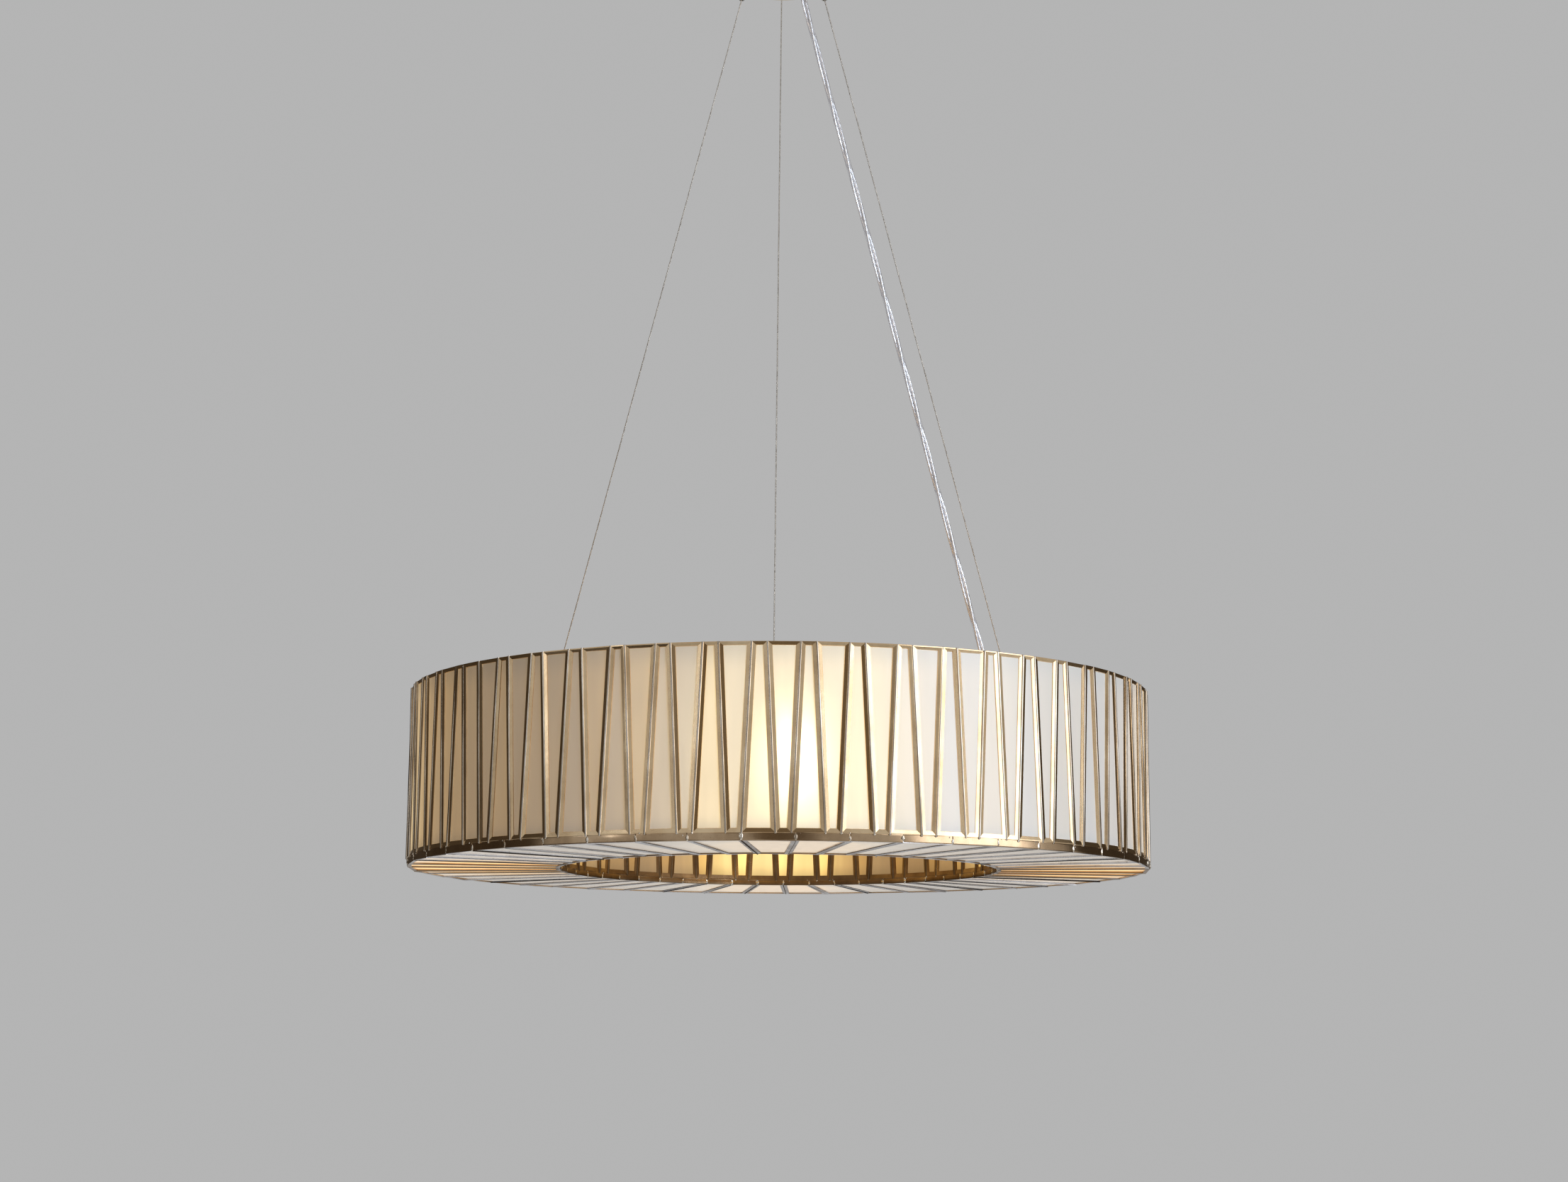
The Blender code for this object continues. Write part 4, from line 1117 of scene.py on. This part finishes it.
def wall_seams(name, dividers, radius, low, bead, solder, dab, inward, rng):
    """Run a bead over each seam of a wall, and set dabs of solder at its ends."""
    strips = []
    dabs = []
    half = BEAD_W / 2.0
    side = -1.0 if inward else 1.0
    for low_deg, high_deg in dividers:
        middle = (low_deg + high_deg) / 2.0
        low_x = side * radius * math.sin(math.radians(low_deg - middle))
        high_x = side * radius * math.sin(math.radians(high_deg - middle))
        foot = low - rng.uniform(*BEAD_FOOT_SHARE) * BEAD_FOOT
        corners = (low_x - half, low_x + half, high_x - half, high_x + half)
        strip = strip_piece(name, corners, SHADE_TOP - foot, BEAD_BASE, BEAD_STEPS)
        facing = turn_z(middle - 180.0 if inward else middle)
        twist = turn_z(rng.uniform(-BEAD_TURN_DEG, BEAD_TURN_DEG))
        strip.matrix_world = facing @ Matrix.Translation((0.0, -side * radius, foot)) @ twist
        strips.append(strip)
        heights = (foot + rng.uniform(*DAB_RISE), SHADE_TOP - rng.uniform(*DAB_DROP))
        for azimuth, height in zip((low_deg, high_deg), heights):
            size = uneven_size(rng, DAB_SCALES)
            lean = Matrix.Rotation(rng.uniform(-DAB_LEAN, DAB_LEAN), 4, "Y")
            dabs.append(copy_to(dab, stood(polar(radius, azimuth, height), azimuth) @ lean @ size))
    finish_joined(strips, f"{name}_beads", bead, SMOOTH_DEG["beads"])
    finish_joined(dabs, f"{name}_solder", solder, SMOOTH_DEG["beads"])


def make_walls(metals, outer_opal, inner_opal):
    solder = metals["soft_solder"]
    # The inner wall's frames and beads take the darker brass, which paints the shade inside the ring
    shade_darkened_brass = metals["shade_darkened_patina_brass"]
    rng = random.Random(WALL_DAB_SEED)
    dab = model_dab("solder_dab_kind", DAB_SIZE, rng)
    low = SHADE_BOTTOM + OUTER_RIM_H + RIM_GAP
    dividers = divider_azimuths(OUTER_START_DEG, OUTER_PAIRS, OUTER_CLOSING_DEG)
    wall_seams("outer", dividers, OUTER_R, low, metals["polished_bead"], solder, dab, False, rng)
    places = wall_places(dividers, OUTER_R, low)
    build_part("outer", places, SHADE_TOP - low, metals["aged_brass"], outer_opal)
    low = SHADE_BOTTOM + INNER_RIM_H + RIM_GAP
    half_pitch = 180.0 / INNER_PAIRS
    dividers = divider_azimuths(INNER_START_DEG - half_pitch / 2.0, INNER_PAIRS, 0.0)
    wall_seams("inner", dividers, INNER_R, low, shade_darkened_brass, solder, dab, True, rng)
    places = wall_places(dividers, INNER_R, low, inward=True)
    build_part("inner", places, SHADE_TOP - low, shade_darkened_brass, inner_opal)
    discard(dab)


def even_strip(name, half_width, height, thickness, steps):
    """Model a strip of the same width all along."""
    return strip_piece(name, (-half_width, half_width) * 2, height, thickness, steps)


def make_underside(metals, tinned, seam, opal):
    """Copy one radial frame and pane round the bottom, facing down, with rim strips round both edges."""
    half = math.pi / BOTTOM_PANELS
    inner_half, outer_half = (radius * math.sin(half) for radius in (INNER_R, OUTER_R))
    inside = INNER_R * math.cos(half)
    outside = OUTER_R * math.cos(half)
    length = outside - inside
    move_in = Matrix.Translation((0.0, -inside, SHADE_BOTTOM))
    lie_down = Matrix.Rotation(math.radians(90.0), 4, "X")
    middles = [BOTTOM_START_DEG + (index + 0.5) * 360.0 / BOTTOM_PANELS for index in range(BOTTOM_PANELS)]
    corners = (-inner_half, inner_half, -outer_half, outer_half)
    places = [(corners, turn_z(azimuth) @ move_in @ lie_down) for azimuth in middles]
    build_part("underside", places, length, tinned, opal)
    rng = random.Random(RIM_SEED)
    outer_strip = even_strip("rim_kind", outer_half - RIM_PLAY, OUTER_RIM_H + RIM_LAP, RIM_BACK, RIM_STEPS)
    inner_strip = even_strip("rim_kind", inner_half - RIM_PLAY, INNER_RIM_H + RIM_LAP, RIM_BACK, RIM_STEPS)
    dab = model_dab("rim_dab_kind", RIM_DAB_SIZE, rng)
    seam_strip = even_strip("seam_kind", SEAM_W / 2.0, length, BEAD_BASE, SEAM_STEPS)
    out_place = Matrix.Translation((0.0, -outside, SHADE_BOTTOM))
    in_place = Matrix.Translation((0.0, inside, SHADE_BOTTOM))
    outer_rims = []
    inner_rims = []
    seams = []
    dabs = []
    for index, azimuth in enumerate(middles):
        half_turn = turn_z(azimuth - 180.0)
        outer_rims.append(copy_to(outer_strip, turn_z(azimuth) @ out_place @ hand_set(rng, *RIM_SET)))
        inner_rims.append(copy_to(inner_strip, half_turn @ in_place @ hand_set(rng, *RIM_SET)))
        edge_deg = BOTTOM_START_DEG + index * 360.0 / BOTTOM_PANELS
        sunk = Matrix.Translation((0.0, 0.0, rng.uniform(0.0, SEAM_SINK)))
        seams.append(copy_to(seam_strip, sunk @ turn_z(edge_deg) @ (move_in @ lie_down)))
        for radius, height in ((OUTER_R, OUTER_RIM_H), (INNER_R, INNER_RIM_H)):
            middle = polar(radius, edge_deg, SHADE_BOTTOM + height * rng.uniform(*RIM_DAB_RISE))
            size = uneven_size(rng, RIM_DAB_SCALES)
            lean = Matrix.Rotation(rng.uniform(-RIM_DAB_LEAN, RIM_DAB_LEAN), 4, "Y")
            dabs.append(copy_to(dab, stood(middle, edge_deg) @ lean @ size))
            crumb_deg = edge_deg + rng.uniform(-CRUMB_TURN_DEG, CRUMB_TURN_DEG)
            crumb = polar(radius, crumb_deg, SHADE_BOTTOM + height * rng.uniform(*CRUMB_RISE))
            dabs.append(copy_to(dab, stood(crumb, edge_deg) @ uneven_size(rng, CRUMB_SCALES)))
    for parts, name, material, smooth in (
        (outer_rims, "outer_rim_strips", metals["rim_brass"], "strips"),
        # The inner rim strips take the darker brass: painted shade
        (inner_rims, "inner_rim_strips", metals["shade_darkened_patina_brass"], "strips"),
        (seams, "underside_seams", seam, "seams"),
        (dabs, "rim_solder", metals["soft_solder"], "beads"),
    ):
        finish_joined(parts, name, material, SMOOTH_DEG[smooth])
    discard(outer_strip, inner_strip, dab, seam_strip)


# Stage


def seen_share(finish):
    """Return 1 where the camera sees the thing, also mirrored or through glass, and 0 for its light."""
    path = finish.add("ShaderNodeLightPath")
    seen = finish.calc("MAXIMUM", path.outputs["Is Camera Ray"], path.outputs["Is Glossy Ray"])
    return finish.calc("MAXIMUM", seen, path.outputs["Is Transmission Ray"])


def make_card(name, azimuth_deg, half_deg, low, high, colour):
    """Stand a card round the light that only its metal and glass reflect."""
    let_go()
    place = polar(CARD_REACH, azimuth_deg, (low + high) / 2.0)
    turn = (math.radians(90.0), 0.0, math.radians(azimuth_deg))
    bpy.ops.mesh.primitive_plane_add(size=1.0, location=place, rotation=turn)
    card = bpy.context.object
    card.name = name
    card.scale = (2.0 * CARD_REACH * math.tan(math.radians(half_deg)), high - low, 1.0)
    finish = Finish(name)
    finish.set(Base_Color=(0.0, 0.0, 0.0, 1.0), Emission_Color=(*colour, 1.0))
    finish.set(Roughness=1.0, Emission_Strength=1.0)
    card.data.materials.append(finish.made)
    card.visible_camera = False
    card.visible_diffuse = False
    card.visible_transmission = False
    card.visible_shadow = False


def make_softbox(name, place, size, energy, colour):
    """Light the object from a soft rectangle that the metal does not reflect."""
    light = bpy.data.lights.new(name, "AREA")
    light.shape = "RECTANGLE"
    light.size, light.size_y = size
    light.energy = energy
    light.color = colour
    lamp = bpy.data.objects.new(name, light)
    lamp.location = place
    aim = Vector(LIGHT_AIM) - lamp.location
    lamp.rotation_euler = aim.to_track_quat("-Z", "Y").to_euler()
    lamp.visible_glossy = False
    bpy.context.scene.collection.objects.link(lamp)


def make_stage():
    """Pale floor, pale surroundings, a soft key light, a warm fill, and cards that the metal reflects."""
    let_go()
    bpy.ops.mesh.primitive_plane_add(size=FLOOR_SIZE, location=(0.0, 0.0, FLOOR_Z))
    floor = bpy.context.object
    floor.name = "studio_floor"
    pale = Finish("pale_floor")
    pale.set(Base_Color=(*FLOOR_COLOUR, 1.0), Emission_Color=(1.0, 1.0, 1.0, 1.0), Roughness=0.8)
    pale.feed(pale.calc("MULTIPLY", seen_share(pale), FLOOR_SEEN), "Emission Strength")
    floor.data.materials.append(pale.made)
    for card in CARDS:
        make_card(*card)
    around = Finish("studio_surroundings", surroundings=True)
    around.set(Color=(1.0, 1.0, 1.0, 1.0))
    around.feed(around.span(seen_share(around), 0.0, 1.0, WORLD_LIGHT, WORLD_SEEN), "Strength")
    bpy.context.scene.world = around.made
    for softbox in SOFTBOXES:
        make_softbox(*softbox)


def make_camera():
    data = bpy.data.cameras.new("photo_camera")
    data.lens = LENS_MM
    data.sensor_width = SENSOR_MM
    data.sensor_fit = "HORIZONTAL"
    camera = bpy.data.objects.new("photo_camera", data)
    camera.matrix_world = (
        Matrix.Translation(CAMERA_PLACE)
        @ turn_z(-CAMERA_YAW_DEG)
        @ Matrix.Rotation(math.radians(90.0 + CAMERA_PITCH_DEG), 4, "X")
        @ turn_z(CAMERA_ROLL_DEG)
    )
    bpy.context.scene.collection.objects.link(camera)
    bpy.context.scene.camera = camera
    bpy.context.scene.view_settings.view_transform = "Standard"


# Lamps, carrier and fittings


def turned(name, profile, segments, bored=False):
    """Turn a part: a disc, or a loop where it is bored, drawn out through its profile and closed."""
    let_go()
    steps = [(radius / 1000.0, height / 1000.0) for radius, height in profile]
    fill = "NOTHING" if bored else "NGON"
    bpy.ops.mesh.primitive_circle_add(vertices=segments, radius=steps[0][0], fill_type=fill)
    piece = bpy.context.object
    piece.name = name
    piece.location.z = steps[0][1]
    fix_place(piece)
    edit(piece)
    bpy.ops.mesh.select_mode(type="VERT")
    pick_all()
    for (radius, height), (wider, higher) in zip(steps, steps[1:]):
        draw_out(0.0, 0.0, higher - height)
        share = wider / radius
        bpy.ops.transform.resize(value=(share, share, 1.0), center_override=(0.0, 0.0, higher))
    if bored:
        pick_open_edges(lambda place: True)
        bpy.ops.mesh.bridge_edge_loops()
    face_outwards()
    done()
    return piece


def foot_of(node):
    """Return the middle of a CAD node's underside."""
    low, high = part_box(node)
    return Vector(((low[0] + high[0]) / 2.0, (low[1] + high[1]) / 2.0, low[2]))


def turned_set(kind, nodes, profile, segments, material, bored=False, body="root"):
    """Model a turned part once, and stand a copy in the place of each of its CAD nodes."""
    pattern = turned(f"{kind}_kind", profile, segments, bored)
    for number, node in enumerate(nodes, 1):
        copies = [copy_to(pattern, Matrix.Translation(foot_of(node)))]
        smooth = SMOOTH_DEG["turned"]
        finish_joined(copies, f"{kind}_{number}", material, smooth, [node], body.format(number))
    discard(pattern)


def flat_ring(name, node, inside, edge, brass):
    """Turn a flat ring with trimmed edges in the place of its CAD node; inside and edge in millimetres."""
    low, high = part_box(node)
    radius = high[0] * 1000.0
    tall = (high[2] - low[2]) * 1000.0
    profile = (
        (inside + edge, 0.0), (radius - edge, 0.0), (radius, edge), (radius, tall - edge),
        (radius - edge, tall), (inside + edge, tall), (inside, tall - edge), (inside, edge),
    )
    ring = turned(name, profile, RING_SEGMENTS, True)
    ring.location.z = low[2]
    finish_joined([ring], name, brass, SMOOTH_DEG["rings"], [node])


def numbered(name, count):
    return [f"{name}_{number}" for number in range(1, count + 1)]


def bevelled_bar(name, size, edge):
    """Model a bar with rounded edges, centred on the origin."""
    let_go()
    bpy.ops.mesh.primitive_cube_add(size=1.0)
    piece = bpy.context.object
    piece.name = name
    piece.scale = size
    fix_place(piece)
    edit(piece)
    pick_all()
    bpy.ops.mesh.bevel(offset=edge, segments=3, affect="EDGES")
    done()
    return piece


def make_lamps(porcelain, frosted, nickel, steel, brass):
    """Make the lampholders on their nipples, and each bulb's glass, threaded cap and contact."""
    nipples = numbered("lamp_nipple", LAMPS)
    turned_set("threaded_nipple", nipples, NIPPLE_PROFILE, 24, brass, bored=True)
    holders = numbered("lampholder", LAMPS)
    turned_set("ribbed_lampholder", holders, LAMPHOLDER_PROFILE, 36, porcelain, bored=True)
    globe_route = smooth_route([(r / 1000.0, 0.0, h / 1000.0) for r, h in GLOBE_PROFILE], GLOBE_STEP)
    globe = turned("bulb_globe_kind", [(point.x * 1000.0, point.z * 1000.0) for point in globe_route], 32)
    cap = turned("bulb_cap_kind", CAP_PROFILE, 32)
    for number, node in enumerate(numbered("bulb", LAMPS), 1):
        place = Matrix.Translation(foot_of(node))
        for kind, name, slot_name, material, smooth, replaces in (
            (globe, "bulb_globe", "frosted_bulb", frosted, "globe", [node]),
            (cap, "bulb_screw_cap", "contact_metal", nickel, "cap", ()),
        ):
            piece = joined([copy_to(kind, place)], f"{name}_{number}")
            finish_piece(piece, material, SMOOTH_DEG[smooth], replaces, f"{node}_turn")
    discard(globe, cap)
    contacts = numbered("bulb_contact", LAMPS)
    sliding = "bulb_{}_travel"
    turned_set("bulb_solder_contact", contacts, CONTACT_PROFILE, 20, steel, body=sliding)


def make_carrier(brass):
    """Make the hoops, the flat ring between them and the crossbars."""
    for node in ("outer_hoop", "inner_hoop"):
        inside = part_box(node)[1][0] * 1000.0 - HOOP_T * 1000.0
        flat_ring(f"{node}_band", node, inside, HOOP_EDGE_MM, brass)
    inside = 2.0 * CARRIER_R * 1000.0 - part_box("carrier_ring")[1][0] * 1000.0
    flat_ring("flat_carrier", "carrier_ring", inside, CARRIER_EDGE_MM, brass)
    start, end = CROSSBAR_RADII
    low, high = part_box("crossbar_1")
    bar = bevelled_bar("crossbar_kind", (CROSSBAR_W, end - start, high[2] - low[2]), CROSSBAR_EDGE)
    for number, node in enumerate(numbered("crossbar", LAMPS)):
        azimuth = CROSSBAR_START_DEG + number * 360.0 / LAMPS
        middle = polar((start + end) / 2.0, azimuth, (low[2] + high[2]) / 2.0)
        copies = [copy_to(bar, stood(middle, azimuth))]
        finish_joined(copies, f"flat_bar_{number + 1}", brass, SMOOTH_DEG["strips"], [node])
    discard(bar)


def make_splice(brass, jacket, plastic):
    """Make the splice housing on the carrier ring, the cord's gland on it and the lead round the ring."""
    low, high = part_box("splice_housing")
    lid = bevelled_bar("splice_lid", HOUSING_SIZE, HOUSING_EDGE)
    edit(lid)
    for side, rise in ((1.0, HOUSING_CREST), (-1.0, HOUSING_WALL - HOUSING_SIZE[2])):
        bpy.ops.mesh.select_all(action="DESELECT")
        pick_points(lambda place: place.z * side > HOUSING_SIZE[2] / 2.0 - 0.0001)
        bpy.ops.mesh.select_mode(type="FACE")
        inset(HOUSING_WALL)
        draw_out(0.0, 0.0, rise * side)
    done()
    lid.matrix_world = stood(polar(CARRIER_R, HOUSING_DEG, (low[2] + high[2]) / 2.0), HOUSING_DEG)
    finish_joined([lid], "splice_lid", brass, SMOOTH_DEG["strips"], ["splice_housing"])
    turned_set("ribbed_gland", ["cord_gland"], GLAND_PROFILE, 28, plastic)
    low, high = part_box("lamp_lead")
    span = 360.0 - 2.0 * LEAD_GAP_DEG
    track = []
    for i in range(RING_SEGMENTS + 1):
        azimuth = HOUSING_DEG + LEAD_GAP_DEG + span * i / RING_SEGMENTS
        track.append(polar(LEAD_TRACK_R, azimuth, (low[2] + high[2]) / 2.0))
    lead = tube_piece("round_lead", [track], LEAD_R, LEAD_SIDES)
    finish_piece(lead, jacket, replaces=["lamp_lead"])


def make_fittings(brass, nickel):
    """Make the couplers, the grippers with their plungers, the canopy, its nuts and the cord's grip."""
    couplers, grippers, plungers = (
        numbered(name, CABLES) for name in ("cable_coupler", "cable_gripper", "release_plunger")
    )
    nuts = numbered("canopy_cap_nut", 2)
    pressed = "plunger_{}"
    turned_set("grooved_coupler", couplers, COUPLER_PROFILE, 28, brass)
    turned_set("grooved_gripper", grippers, GRIPPER_PROFILE, 28, nickel)
    turned_set("press_plunger", plungers, PLUNGER_PROFILE, 24, nickel, True, pressed)
    turned_set("canopy_pan", ["canopy_cover"], CANOPY_PROFILE, RING_SEGMENTS, brass)
    turned_set("domed_nut", nuts, CAP_NUT_PROFILE, 28, brass)
    turned_set("cord_bushing", ["cord_grip"], CORD_GRIP_PROFILE, 28, brass)


def dress_cad_nodes(finishes):
    """Give every CAD node that stays in sight the material of its slot."""
    for row in frame["record"]["subparts"]:
        node = bpy.data.objects.get(row["node"])
        if node is None or node.type != "MESH":
            continue
        node.data.materials.clear()
        node.data.materials.append(finishes[row["material_slot"]])


def main():
    make_camera()
    make_stage()
    steel = make_cable_steel()
    jacket = make_jacket()
    make_suspension_cables(steel)
    make_power_cord(jacket, make_conductor())
    metals = {name: aged_metal(name, *look) for name, look in METALS.items()}
    brass = metals["aged_brass"]
    nickel = metals["satin_nickel"]
    wall_opal = make_opal("opal_glass_walls", **WALL_GLASS)
    # The inner panes take the darker copy of the opal glass: painted shade
    make_walls(metals, wall_opal, make_opal("opal_glass_inner_shaded", **SHADED_INNER_GLASS))
    floor_opal = make_opal("opal_glass_underside", **FLOOR_GLASS)
    make_underside(metals, make_soldered_came(), make_seam(), floor_opal)
    porcelain = make_porcelain()
    frosted = make_bulb_glass()
    plastic = make_gland_plastic()
    make_lamps(porcelain, frosted, nickel, steel, brass)
    make_carrier(brass)
    make_splice(brass, jacket, plastic)
    make_fittings(brass, nickel)
    dress_cad_nodes({
        "aged_brass": brass,
        "opal_glass": wall_opal,
        "satin_nickel": nickel,
        "cable_steel": steel,
        "porcelain": porcelain,
        "frosted_bulb": frosted,
        "contact_metal": steel,
        "clear_jacket": jacket,
        "gland_plastic": plastic,
    })


main()
